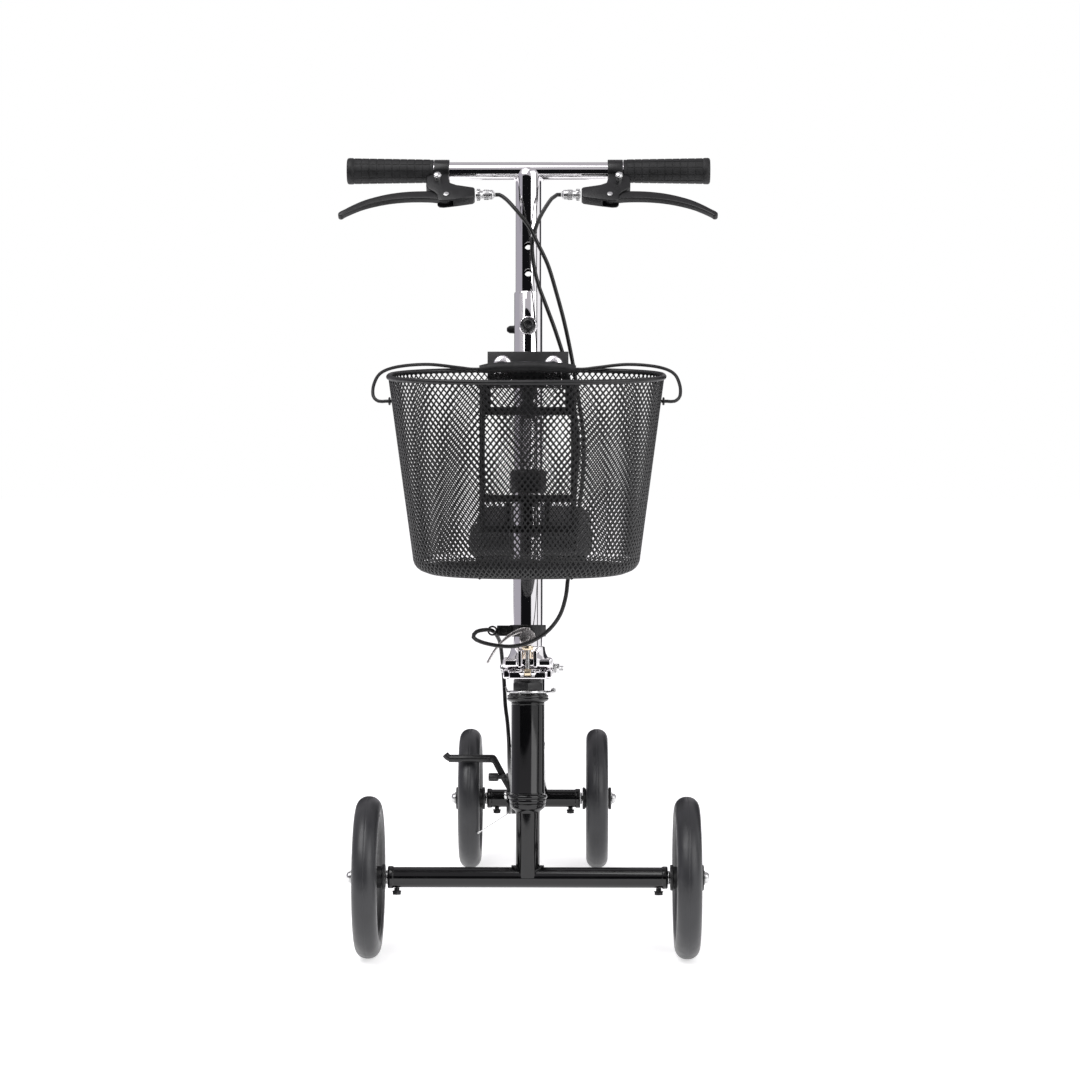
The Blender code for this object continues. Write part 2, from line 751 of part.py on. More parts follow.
# ---- column ----
def make_column():
    profile = [
        (COLUMN_UPPER_R, COLUMN_TOP),
        (COLUMN_UPPER_R, COLUMN_STEP),
        (COLUMN_R, COLUMN_STEP - 0.0008),
        (COLUMN_R, COLUMN_LOW + 0.0006),
        (COLUMN_BORE_R, COLUMN_LOW + 0.0006),
        (COLUMN_BORE_R, COLUMN_TOP),
    ]
    column = turned("column_tube", profile, CHROME, FOLD, (0, 0, 0), ring=True)
    join(
        column,
        rod("knob_boss", 0.0115, 0.0100, None, FOLD, (0, -COLUMN_UPPER_R - 0.0017, PIN_Z), ALONG_Y, 20),
        rod("screw_boss", 0.0075, 0.0090, None, FOLD, (0, COLUMN_UPPER_R + 0.0022, PIN_Z), ALONG_Y, 16),
    )
    cut(
        column,
        rod("boss_bore", 0.0044, 0.0800, None, FOLD, (0, 0, PIN_Z), ALONG_Y, 12),
        rod("bore_again", COLUMN_BORE_R, 0.0400, None, FOLD, (0, 0, PIN_Z)),
    )

    knob_face = COLUMN_UPPER_R + 0.0067 + GAP
    knob = [
        (0.0, knob_face + 0.0125),
        (0.0050, knob_face + 0.0118),
        (0.0085, knob_face + 0.0085),
        (0.0095, knob_face + 0.0040),
        (0.0095, knob_face),
        (0.0039, knob_face),
        (0.0039, COLUMN_BORE_R + 0.0003),
        (0.0, COLUMN_BORE_R + 0.0003),
    ]
    turned("height_knob", knob, SATIN_BLACK, HEIGHT_PIN, (0, 0, PIN_Z), (math.pi / 2, 0, 0), 16)
    screw_face = COLUMN_UPPER_R + 0.0067 + GAP
    lever = [
        (0.0, screw_face + 0.0090),
        (0.0075, screw_face + 0.0080),
        (0.0075, screw_face),
        (0.0039, screw_face),
        (0.0039, COLUMN_BORE_R + 0.0003),
        (0.0, COLUMN_BORE_R + 0.0003),
    ]
    screw = turned("clamp_screw", lever, SATIN_BLACK, CLAMP_SCREW, (0, 0, PIN_Z), ALONG_Y, 16)
    join(
        screw,
        block(
            "clamp_blade", (0.0300, 0.0060, 0.0100), None, CLAMP_SCREW,
            (-0.0125, screw_face + 0.0048, PIN_Z), bevel=0.0015,
        ),
    )

    band_bore = COLUMN_R + GAP + 0.0003
    collar = sleeve(
        "cable_collar", 0.0224, band_bore, COLLAR_Z - 0.0075, COLLAR_Z + 0.0075, SATIN_BLACK, FOLD
    )
    ring_turns = [step * math.pi / 6 for step in range(12)]
    ring = wire(
        "guide_ring",
        [
            (-0.0440 + 0.0052 * math.cos(turn), -0.0060, COLLAR_Z + 0.0052 * math.sin(turn))
            for turn in ring_turns
        ],
        0.0011,
        None,
        FOLD,
        cyclic=True,
        bevel_resolution=1,
    )
    ring.location = -frame_origin(FOLD)
    join(
        collar,
        block("collar_tab", (0.0190, 0.0070, 0.0120), None, FOLD, (-0.0290, -0.0060, COLLAR_Z), bevel=0.0010),
        as_mesh(ring),
    )

    band_low = CLAMP_BAND_Z - 0.0140
    band = sleeve("bracket_clamp", 0.0226, band_bore, band_low, band_low + 0.0280, SATIN_BLACK, FOLD)
    join(band, block("band_lug", (0.0200, 0.0040, 0.0240), None, FOLD, (0, -0.0231, CLAMP_BAND_Z)))


make_column()


# ---- basket, its bracket and its handle ----
def make_bracket():
    """A pressed plate with windows: the upper half carries the rim, the lower half steadies the wall."""
    middle_y = BRACKET_FRONT_Y + BRACKET_THICKNESS / 2
    top = 0.6498
    shoulder = 0.6096
    outline = [
        (-0.0500, top), (0.0500, top), (0.0500, shoulder), (0.0600, shoulder), (0.0600, 0.4255),
        (-0.0600, 0.4255), (-0.0600, shoulder), (-0.0500, shoulder),
    ]
    bracket = plate(
        "basket_bracket",
        [outline],
        BRACKET_THICKNESS,
        SATIN_BLACK,
        FOLD,
        (0, middle_y, 0),
        (math.pi / 2, 0, 0),
    )
    windows = [(-0.0530, 0.0530, 0.4728, 0.5713)]
    for side, sign in SIDES:
        for near, far, low, high in (
            (0.0070, 0.0460, 0.5814, 0.6045),
            (0.0060, 0.0210, 0.4346, 0.4638),
            (0.0270, 0.0530, 0.4346, 0.4638),
        ):
            windows.append((*sorted((sign * near, sign * far)), low, high))
    for index, (left, right, low, high) in enumerate(windows):
        size = (right - left, 0.0100, high - low)
        centre = ((left + right) / 2, middle_y, (low + high) / 2)
        cut(bracket, block("opening_%d" % index, size, None, FOLD, centre))
    saddle = block("saddle", (0.0240, 0.0080, 0.0200), None, FOLD, (0, -0.0222, 0.6250))
    join(bracket, saddle)
    front = BRACKET_FRONT_Y - GAP
    for side, sign in SIDES:
        turned(
            "bracket_screw_" + side,
            [(0.0, 0.0048), (0.0095, 0.0048), (0.0115, 0.0030), (0.0115, 0.0), (0.0, 0.0)],
            CHROME,
            FOLD,
            (sign * 0.0315, front, 0.6337),
            (math.pi / 2, 0, 0),
            20,
        )
        clip = block(
            "rim_clip_" + side, (0.0220, 0.0056, 0.0060), None, FOLD,
            (sign * 0.0310, front - 0.0018, 0.6125),
        )
        join(bracket, clip)


def oval(width, depth, count):
    """Points of a rounded oval, a superellipse, starting at +X."""
    roundness = 2.0 / 2.5
    found = []
    for index in range(count):
        angle = 2 * math.pi * index / count
        across = math.copysign(abs(math.cos(angle)) ** roundness, math.cos(angle))
        along = math.copysign(abs(math.sin(angle)) ** roundness, math.sin(angle))
        found.append((across * width / 2, along * depth / 2))
    return found


def make_basket():
    """The wall and floor as one shell, open at the top, with its rim wire."""
    count = 28
    levels = [
        (0.0, 0.0),
        (0.0, -BASKET_HEIGHT / 2),
        (0.0, -BASKET_HEIGHT + 0.0160),
        (0.0050, -BASKET_HEIGHT + 0.0050),
        (0.0160, -BASKET_HEIGHT),
    ]
    work = bmesh.new()
    rings = []
    for inset, height in levels:
        narrowing = 2 * (BASKET_TAPER * -height / BASKET_HEIGHT + inset + BASKET_RIM_R)
        outline = oval(BASKET_WIDTH - narrowing, BASKET_DEPTH - narrowing, count)
        rings.append([work.verts.new((x, y, height)) for x, y in outline])
    for upper, lower in zip(rings, rings[1:]):
        edges = []
        for ring in (upper, lower):
            for index in range(count):
                pair = (ring[index], ring[(index + 1) % count])
                edges.append(work.edges.get(pair) or work.edges.new(pair))
        bmesh.ops.bridge_loops(work, edges=edges)
    work.faces.new(rings[-1])
    bmesh.ops.recalc_face_normals(work, faces=work.faces)
    middle = (0, -BASKET_DEPTH / 2, 0)
    basket = from_bmesh("basket", work, SATIN_BLACK, BASKET, middle)
    shell = basket.modifiers.new("Wall", "SOLIDIFY")
    shell.thickness = BASKET_WALL
    shell.offset = -1.0
    rim_route = oval(BASKET_WIDTH - 2 * BASKET_RIM_R, BASKET_DEPTH - 2 * BASKET_RIM_R, count)
    rim_points = [(x, y - BASKET_DEPTH / 2, 0.0) for x, y in rim_route]
    rim = wire("basket_rim", rim_points, BASKET_RIM_R, None, BASKET, cyclic=True)
    join(basket, as_mesh(rim))


def make_handle():
    """A wire bail that lies back over the rim, with a grip on its middle."""
    side_x = BASKET_WIDTH / 2
    middle_y = -BASKET_DEPTH / 2
    grip_y = -0.0190
    half_route = [
        (side_x + 0.0010, middle_y, -HANDLE_PIVOT_DROP),
        (side_x + 0.0100, middle_y + 0.0010, -HANDLE_PIVOT_DROP),
        (side_x + 0.0165, middle_y + 0.0060, -0.0240),
        (side_x + 0.0165, middle_y + 0.0220, -0.0110),
        (side_x + 0.0095, middle_y + 0.0480, 0.0010),
        (side_x - 0.0100, middle_y + 0.0760, 0.0068),
        (side_x - 0.0450, middle_y + 0.0985, 0.0082),
        (side_x - 0.0820, grip_y - 0.0015, 0.0040),
        (0.0700, grip_y, 0.0021),
        (0.0560, grip_y, 0.0020),
        (0.0300, grip_y, 0.0020),
    ]
    mirrored = [(-x, y, z) for x, y, z in half_route[::-1]]
    handle = wire("basket_handle", smooth_route(half_route + mirrored, 0.014), 0.0020, SATIN_BLACK, HANDLE)
    handle.location = -frame_origin(HANDLE)
    profile = [
        (0.0050, 0.0590), (0.0068, 0.0560), (0.0070, 0.0), (0.0068, -0.0560), (0.0050, -0.0590),
        (0.0029, -0.0590), (0.0029, 0.0590),
    ]
    turned("handle_grip", profile, RUBBER, HANDLE, (0, grip_y, 0.0020), ALONG_X, 16, ring=True)


make_bracket()
make_basket()
make_handle()


# ---- handlebar, grips and brake levers ----
def make_handlebar():
    bar = rod("handlebar", BAR_R, 2 * BAR_HALF, CHROME, BAR, (0, 0, BAR_Z), ALONG_X)
    stem = [
        (0.0110, BAR_Z - 0.0010),
        (0.0140, BAR_Z - 0.0080),
        (STEM_R, BAR_Z - 0.0130),
        (STEM_R, STEM_LOW),
        (STEM_R - 0.0020, STEM_LOW),
        (STEM_R - 0.0020, BAR_Z - 0.0250),
        (0.0, BAR_Z - 0.0220),
    ]
    stem_solid = [(0.0, BAR_Z - 0.0010)] + stem
    join(bar, turned("stem", stem_solid, None, BAR, (0, 0, 0)))
    for step in range(-2, 4):
        hole_at = (0, 0, PIN_Z + step * PIN_PITCH)
        hole = rod("stem_hole_%d" % (step + 2), 0.0048, 0.080, None, BAR, hole_at, ALONG_Y, 8)
        cut(bar, hole)

    length = GRIP_OUTER - GRIP_INNER
    for side, sign in SIDES:
        profile = [
            (0.0, length),
            (0.0140, length),
            (0.0160, length - 0.0030),
            (0.0165, length - 0.0080),
            (0.0148, 0.0030),
            (0.0140, 0.0),
            (BAR_R + GAP, 0.0),
            (BAR_R + GAP, BAR_HALF - GRIP_INNER + GAP),
            (0.0, BAR_HALF - GRIP_INNER + GAP),
        ]
        turned(
            "grip_" + side, profile, RUBBER, BAR, (sign * GRIP_INNER, 0, BAR_Z), (0, sign * math.pi / 2, 0)
        )


def blade_outline(sign):
    """A brake lever's blade in its own plane: a round root, a long sweep and a small hook at the tip."""
    spine = [
        (0.1010, 0.0500, 0.0078),
        (0.1250, 0.0480, 0.0066),
        (0.1500, 0.0485, 0.0062),
        (0.1750, 0.0530, 0.0057),
        (0.2000, 0.0620, 0.0051),
        (0.2180, 0.0730, 0.0046),
        (0.2270, 0.0800, 0.0044),
    ]
    inner_edge = [(sign * x, -(reach - half)) for x, reach, half in spine]
    outer_edge = [(sign * x, -(reach + half)) for x, reach, half in spine]
    tip = [(sign * 0.2328, -0.0800), (sign * 0.2335, -0.0840), (sign * 0.2310, -0.0865)]
    root = [
        (sign * (0.1010 - 0.0078 * math.sin(angle)), -(0.0500 + 0.0078 * math.cos(angle)))
        for angle in (math.pi / 4, math.pi / 2, 3 * math.pi / 4)
    ]
    return inner_edge + tip + outer_edge[::-1] + root


def make_lever(side, sign):
    """The bracket that clamps on the bar, the lever in its jaws and the cable adjuster."""
    plane = LEVERS[side]
    bracket = sleeve(
        "lever_bracket_" + side, 0.0142, BAR_R + GAP, -0.0095, 0.0095, SATIN_BLACK, plane,
        (sign * 0.1080, 0, 0), ALONG_X,
    )
    join(
        bracket,
        block("perch_arm_" + side, (0.0150, 0.0270, 0.0110), None, plane, (sign * 0.1050, -0.0265, 0)),
        block(
            "perch_body_" + side, (0.0440, 0.0210, 0.0130), None, plane,
            (sign * 0.0870, -0.0480, 0), bevel=0.0015,
        ),
    )
    cut(
        bracket,
        block(
            "perch_slot_" + side, (0.0600, 0.0530, LEVER_THICKNESS + 0.0008), None, plane,
            (sign * 0.1210, -0.0620, 0),
        ),
    )
    axis = LEVER_AXES[side]
    lever = plate("brake_lever_" + side, [blade_outline(sign)], LEVER_THICKNESS, SATIN_BLACK, axis, (0, 0, 0))
    lever.location = -frame_origin(axis)
    profile = [
        (0.0, 0.0235), (0.0060, 0.0235), (0.0060, 0.0150), (0.0050, 0.0140), (0.0050, 0.0070),
        (0.0075, 0.0060), (0.0075, 0.0), (0.0, 0.0),
    ]
    turned(
        "barrel_adjuster_" + side, profile, STEEL, plane, (sign * (0.0650 - GAP), -0.0440, 0),
        (0, -sign * math.pi / 2, 0), 16,
    )


make_handlebar()
for side, sign in SIDES:
    make_lever(side, sign)


# ---- rear brake ----
def make_brake():
    """A swinging arm whose bar presses on the right rear tyre."""
    half = BRAKE_STRIP / 2
    plane_turn = (math.pi / 2, 0, 0)
    outline = [
        (-0.1190, BRAKE_BAR_Z - 0.0055),
        (-0.0580, BRAKE_BAR_Z - 0.0055),
        (-0.0440, BRAKE_PIVOT_Z + 0.0210),
        (-BRAKE_HUB_X - half, BRAKE_PIVOT_Z + 0.0070),
        (-BRAKE_HUB_X - half, 0.0950),
        (-BRAKE_HUB_X + half, 0.0950),
        (-BRAKE_HUB_X + half, BRAKE_PIVOT_Z + 0.0100),
        (-0.0335, BRAKE_PIVOT_Z + 0.0190),
        (-0.0520, BRAKE_BAR_Z + 0.0030),
        (-0.0555, BRAKE_BAR_Z + 0.0055),
        (-0.1190, BRAKE_BAR_Z + 0.0055),
    ]
    arm = plate("brake_arm", [outline], 0.0040, SATIN_BLACK, BRAKE, (0, BRAKE_Y, 0), plane_turn)
    hub_centre = (-BRAKE_HUB_X, BRAKE_Y, BRAKE_PIVOT_Z)
    join(arm, rod("brake_hub", 0.0070, 0.0094, None, BRAKE, hub_centre, ALONG_X, 16))
    cut(arm, rod("hub_hole", 0.0034, 0.020, None, BRAKE, hub_centre, ALONG_X, 12))
    boss_face = BRAKE_HUB_X - 0.0053
    bolt = [
        (0.0, boss_face + 0.0150),
        (0.0055, boss_face + 0.0145),
        (0.0055, boss_face + 0.0106),
        (0.0030, boss_face + 0.0106),
        (0.0030, boss_face + GAP),
        (0.0, boss_face + GAP),
    ]
    turned("brake_pivot_bolt", bolt, STEEL, None, (0, BRAKE_Y, BRAKE_PIVOT_Z), (0, -math.pi / 2, 0), 12)
    adjuster = [
        (0.0, 0.0320), (0.0030, 0.0320), (0.0030, 0.0220), (0.0060, 0.0215), (0.0060, 0.0150),
        (0.0040, 0.0145), (0.0040, 0.0080), (0.0060, 0.0075), (0.0060, 0.0005), (0.0, 0.0),
    ]
    adjuster_at = (-0.0310, BRAKE_Y - 0.0085, 0.1450)
    turned("brake_adjuster", adjuster, STEEL, BRAKE, adjuster_at, (0, -math.pi / 2, 0), 12)


make_brake()


# ---- cables ----
def steered(x, y, z):
    """A point of the steering frame, in the world."""
    placed = Matrix.Translation((0, FRONT_AXLE_Y, WHEEL_R)) @ Matrix.Rotation(-RAKE, 4, "X")
    return placed @ Vector((x, y, z))


def behind(x, y, z):
    """A point given from the front axle's Y."""
    return Vector((x, FRONT_AXLE_Y + y, z))


JOINER_TOP = (0.0600, -0.0145, 0.4560)
JOINER_LENGTH = 0.0300
EXIT_X = 0.0408
EXIT_Y = -0.0283
EXIT_Z = BAR_Z - 0.0337


def make_cables():
    spacing = 0.030
    left_route = [
        (EXIT_X, EXIT_Y, EXIT_Z),
        (EXIT_X - 0.0050, EXIT_Y, EXIT_Z),
        (0.0290, -0.0300, 0.8390),
        (0.0185, -0.0320, 0.8230),
        (0.0105, -0.0325, 0.8060),
        (0.0050, -0.0325, 0.7830),
        (0.0068, -0.0320, 0.7580),
        (0.0125, -0.0300, 0.7330),
        (0.0225, -0.0280, 0.7060),
        (0.0340, -0.0245, 0.6750),
        (0.0455, -0.0205, 0.6380),
        (0.0550, -0.0190, 0.5920),
        (0.0620, -0.0190, 0.5380),
        (0.0590, -0.0180, 0.4880),
        (0.0562, -0.0145, 0.4620),
        (0.0562, -0.0145, 0.4564),
    ]
    right_route = [
        (-EXIT_X, EXIT_Y, EXIT_Z),
        (-EXIT_X + 0.0050, EXIT_Y, EXIT_Z),
        (-0.0270, -0.0310, 0.8380),
        (-0.0130, -0.0370, 0.8220),
        (0.0020, -0.0400, 0.8020),
        (0.0115, -0.0400, 0.7830),
        (0.0245, -0.0370, 0.7560),
        (0.0350, -0.0330, 0.7220),
        (0.0450, -0.0280, 0.6850),
        (0.0545, -0.0215, 0.6400),
        (0.0625, -0.0190, 0.5920),
        (0.0690, -0.0190, 0.5380),
        (0.0670, -0.0180, 0.4880),
        (0.0638, -0.0145, 0.4620),
        (0.0638, -0.0145, 0.4564),
    ]
    for side, route in (("left", left_route), ("right", right_route)):
        placed = [steered(*point) for point in route]
        wire("brake_cable_" + side, smooth_route(placed, spacing), CABLE_R, CABLE)
    rod(
        "cable_joiner", 0.0080, JOINER_LENGTH, SATIN_BLACK, FOLD,
        (JOINER_TOP[0], JOINER_TOP[1], JOINER_TOP[2] - JOINER_LENGTH / 2), sides=16,
    )
    rear_route = [
        steered(JOINER_TOP[0], JOINER_TOP[1], JOINER_TOP[2] - JOINER_LENGTH - GAP),
        steered(JOINER_TOP[0], JOINER_TOP[1], JOINER_TOP[2] - JOINER_LENGTH - 0.0060),
        steered(0.0570, -0.0170, 0.4000),
        steered(0.0500, -0.0230, 0.3720),
        steered(0.0470, -0.0300, 0.3480),
        steered(0.0400, -0.0400, 0.3250),
        steered(0.0270, -0.0470, 0.3070),
        steered(0.0120, -0.0490, 0.2960),
        steered(-0.0050, -0.0490, 0.2885),
        steered(-0.0220, -0.0480, 0.2860),
        steered(-0.0400, -0.0460, 0.2875),
        steered(-0.0570, -0.0420, 0.2915),
        steered(-0.0665, -0.0360, 0.2970),
        steered(-0.0630, -0.0270, 0.3040),
        steered(-0.0510, -0.0170, 0.3065),
        steered(-0.0440, -0.0060, 0.3052),
        steered(-0.0395, 0.0060, 0.3000),
        steered(-0.0350, 0.0240, 0.2890),
        steered(-0.0325, 0.0400, 0.2650),
        steered(-0.0305, 0.0450, 0.2400),
        steered(-0.0290, 0.0440, 0.2120),
        steered(-0.0262, 0.0420, 0.1900),
        steered(-0.0245, 0.0440, 0.1650),
        behind(-0.0245, 0.0850, 0.2270),
        behind(-0.0250, 0.1400, 0.2060),
        behind(-0.0255, 0.2300, 0.1850),
        behind(-0.0265, 0.3400, 0.1520),
        behind(-0.0290, 0.4100, 0.1200),
        behind(-0.0315, 0.4450, 0.1060),
        behind(-0.0315, 0.4657, 0.1040),
    ]
    wire("rear_brake_cable", smooth_route(rear_route, spacing), CABLE_R, CABLE)
    inner = [
        behind(-0.0315, 0.4745, 0.1030),
        behind(-0.0315, 0.5000, 0.1010),
        behind(-0.0315, 0.5120, 0.1000),
        behind(-0.0350, 0.5130, 0.0930),
        behind(-0.0560, 0.5120, 0.0790),
        behind(-0.0780, 0.5100, 0.0650),
    ]
    wire("brake_inner_wire", smooth_route(inner, 0.006), 0.0009, STEEL)


make_cables()
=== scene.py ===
"""The finished look of the knee scooter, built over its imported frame.

Shapes are written in millimetres in the frame they belong to: the steering frame for everything that
steers, the basket's own frame, the two levers' plane, and the row's frame for the rest. The rider
faces -Y, and left is +X.
"""
import json
import math

import bmesh
import bpy
from mathutils import Matrix, Vector


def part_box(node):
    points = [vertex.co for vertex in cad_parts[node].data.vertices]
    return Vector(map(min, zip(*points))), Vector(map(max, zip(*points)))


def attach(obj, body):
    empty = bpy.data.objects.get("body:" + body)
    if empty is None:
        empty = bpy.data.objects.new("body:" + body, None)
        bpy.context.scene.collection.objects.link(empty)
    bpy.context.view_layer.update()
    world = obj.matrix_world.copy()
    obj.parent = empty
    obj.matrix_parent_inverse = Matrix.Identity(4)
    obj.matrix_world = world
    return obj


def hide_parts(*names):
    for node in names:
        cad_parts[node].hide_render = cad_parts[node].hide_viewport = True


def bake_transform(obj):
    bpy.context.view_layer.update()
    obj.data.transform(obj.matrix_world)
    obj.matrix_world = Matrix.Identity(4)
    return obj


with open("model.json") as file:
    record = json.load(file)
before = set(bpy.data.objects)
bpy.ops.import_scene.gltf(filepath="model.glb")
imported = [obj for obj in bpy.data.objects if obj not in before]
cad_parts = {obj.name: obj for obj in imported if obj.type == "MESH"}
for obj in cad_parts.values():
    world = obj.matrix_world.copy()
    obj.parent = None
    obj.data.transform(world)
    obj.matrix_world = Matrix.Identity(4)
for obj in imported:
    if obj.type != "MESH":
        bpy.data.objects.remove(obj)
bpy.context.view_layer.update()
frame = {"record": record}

bl_info = {
    "name": "Knee scooter",
    "version": (1, 0, 0),
    "blender": (4, 5, 0),
    "location": "View3D > Sidebar > Scooter",
    "description": "Builds the finished pieces of a four-wheeled knee scooter over its frame",
    "category": "Object",
}

MM = 0.001
TURN = 2 * math.pi
SIDES = (("left", 1), ("right", -1))
SHARP = math.radians(32)

# ---- frames, from the record's joints ----
JOINTS = {joint["name"]: joint for joint in frame["record"]["behaviour"]["joints"]}


def turned_to(angle, axis):
    return Matrix.Rotation(angle, 4, axis)


def even_turns(count):
    """Angles that share out a full turn."""
    return [TURN * step / count for step in range(count)]


STEERING_AXIS = Vector(JOINTS["steering"]["axis"])
RAKE = math.atan2(STEERING_AXIS.y, STEERING_AXIS.z)
BASKET_DROOP = math.radians(2.4)
LEVER_DROOP = math.radians(50)
ROW = Matrix.Identity(4)
STEER = Matrix.Translation(JOINTS["steering"]["pos_m"]) @ turned_to(-RAKE, "X")
BASKET = STEER @ Matrix.Translation((0, -0.0340, 0.6266)) @ turned_to(RAKE + BASKET_DROOP, "X")
LEVERS = STEER @ Matrix.Translation((0, 0, 0.8778)) @ turned_to(LEVER_DROOP, "X")
FRONT_Y = JOINTS["steering"]["pos_m"][1] / MM
REAR_Y = JOINTS["rear_left_spin"]["pos_m"][1] / MM
SEAT_Y = FRONT_Y + 450.0
BRAKE_Y = JOINTS["brake_arm_swing"]["pos_m"][1] / MM
AXLE_Z = 100.0

KNOB_HEIGHT = 682.8
HOLE_PITCH = 33.2
BAR_HEIGHT = 877.8
HEAD_HEIGHT = 264.0
TAIL_HEIGHT = 108.0
BRAKE_PIVOT = 118.0
BASKET_MIDDLE = -125.0

ALONG_X = turned_to(math.pi / 2, "Y")
ALONG_MINUS_X = turned_to(-math.pi / 2, "Y")
ALONG_Y = turned_to(-math.pi / 2, "X")
ALONG_MINUS_Y = turned_to(math.pi / 2, "X")
UPRIGHT = Matrix.Identity(4)


def at(x, y, z, turn=UPRIGHT):
    return Matrix.Translation((x, y, z)) @ turn


# ---- settings ----
class ScooterColours(bpy.types.PropertyGroup):
    """Colours of the finished pieces."""

    paint: bpy.props.FloatVectorProperty(
        name="Frame paint", description="Gloss paint on the frame and the fork",
        default=(0.0022, 0.0022, 0.0025), subtype="COLOR", min=0.0, max=1.0,
    )
    trim: bpy.props.FloatVectorProperty(
        name="Black trim", description="Levers, basket bracket, collars and bands",
        default=(0.0035, 0.0035, 0.0040), subtype="COLOR", min=0.0, max=1.0,
    )
    tyre: bpy.props.FloatVectorProperty(
        name="Tyres", description="Solid tyres",
        default=(0.020, 0.0205, 0.0225), subtype="COLOR", min=0.0, max=1.0,
    )
    vinyl: bpy.props.FloatVectorProperty(
        name="Pad cover", description="Cover of the knee pad",
        default=(0.008, 0.008, 0.009), subtype="COLOR", min=0.0, max=1.0,
    )


class ScooterSizes(bpy.types.PropertyGroup):
    """Sizes of the details that the frame leaves open."""

    mesh_columns: bpy.props.IntProperty(
        name="Mesh cells around", description="Diamonds in one row round the basket",
        default=122, min=40, max=140,
    )
    mesh_rows: bpy.props.IntProperty(
        name="Mesh rows", description="Rows of diamonds down the basket's wall", default=27, min=8, max=30,
    )
    strand: bpy.props.FloatProperty(
        name="Strand width", description="Width of a strand of the basket's mesh",
        default=0.00145, unit="LENGTH", min=0.0005, max=0.003,
    )
    spokes: bpy.props.IntProperty(
        name="Spokes", description="Spokes in each wheel", default=5, min=3, max=9,
    )
    grip_blocks: bpy.props.IntProperty(
        name="Grip blocks", description="Raised blocks round a grip", default=11, min=6, max=16,
    )
    pad_swell: bpy.props.FloatProperty(
        name="Pad swell", description="Most that the pad's filling moves its cover",
        default=0.007, unit="LENGTH", min=0.0, max=0.016,
    )


class StudioSettings(bpy.types.PropertyGroup):
    """Camera, floor and lights."""

    lens: bpy.props.FloatProperty(
        name="Lens", description="Focal length of the camera", default=97.3, min=20.0, max=300.0,
    )
    camera_place: bpy.props.FloatVectorProperty(
        name="Camera", description="Where the camera stands",
        default=(0.052, -3.812, 0.788), subtype="TRANSLATION",
    )
    camera_tilt: bpy.props.FloatProperty(
        name="Tilt", description="How far the camera looks down",
        default=math.radians(4.31), subtype="ANGLE",
    )
    camera_turn: bpy.props.FloatProperty(
        name="Turn", description="How far the camera looks to the scooter's right",
        default=math.radians(0.59), subtype="ANGLE",
    )
    surround: bpy.props.FloatProperty(
        name="Surround", description="Brightness of the white studio", default=1.0, min=0.0, max=4.0,
    )
    ambient: bpy.props.FloatProperty(
        name="Ambient", description="Share of the surround that lights the scooter", default=0.5, min=0.0, max=1.0,
    )
    key: bpy.props.FloatProperty(
        name="Key light", description="Power of the soft light overhead",
        default=60.0, min=0.0, max=500.0, unit="POWER",
    )


def colours():
    return bpy.context.scene.scooter_colours


def sizes():
    return bpy.context.scene.scooter_sizes


def studio():
    return bpy.context.scene.scooter_studio


# ---- shader writing ----
class Signal:
    """An output of a material's node, on which ordinary arithmetic is written."""

    def __init__(self, finish, socket):
        self.finish = finish
        self.socket = socket

    def step(self, operation, first, second):
        return self.finish.node("ShaderNodeMath", {"operation": operation}, {0: first, 1: second})

    def __add__(self, other):
        return self.step("ADD", self, other)

    def __radd__(self, other):
        return self.step("ADD", other, self)

    def __sub__(self, other):
        return self.step("SUBTRACT", self, other)

    def __rsub__(self, other):
        return self.step("SUBTRACT", other, self)

    def __mul__(self, other):
        return self.step("MULTIPLY", self, other)

    def __rmul__(self, other):
        return self.step("MULTIPLY", other, self)

    def __gt__(self, other):
        return self.step("GREATER_THAN", self, other)


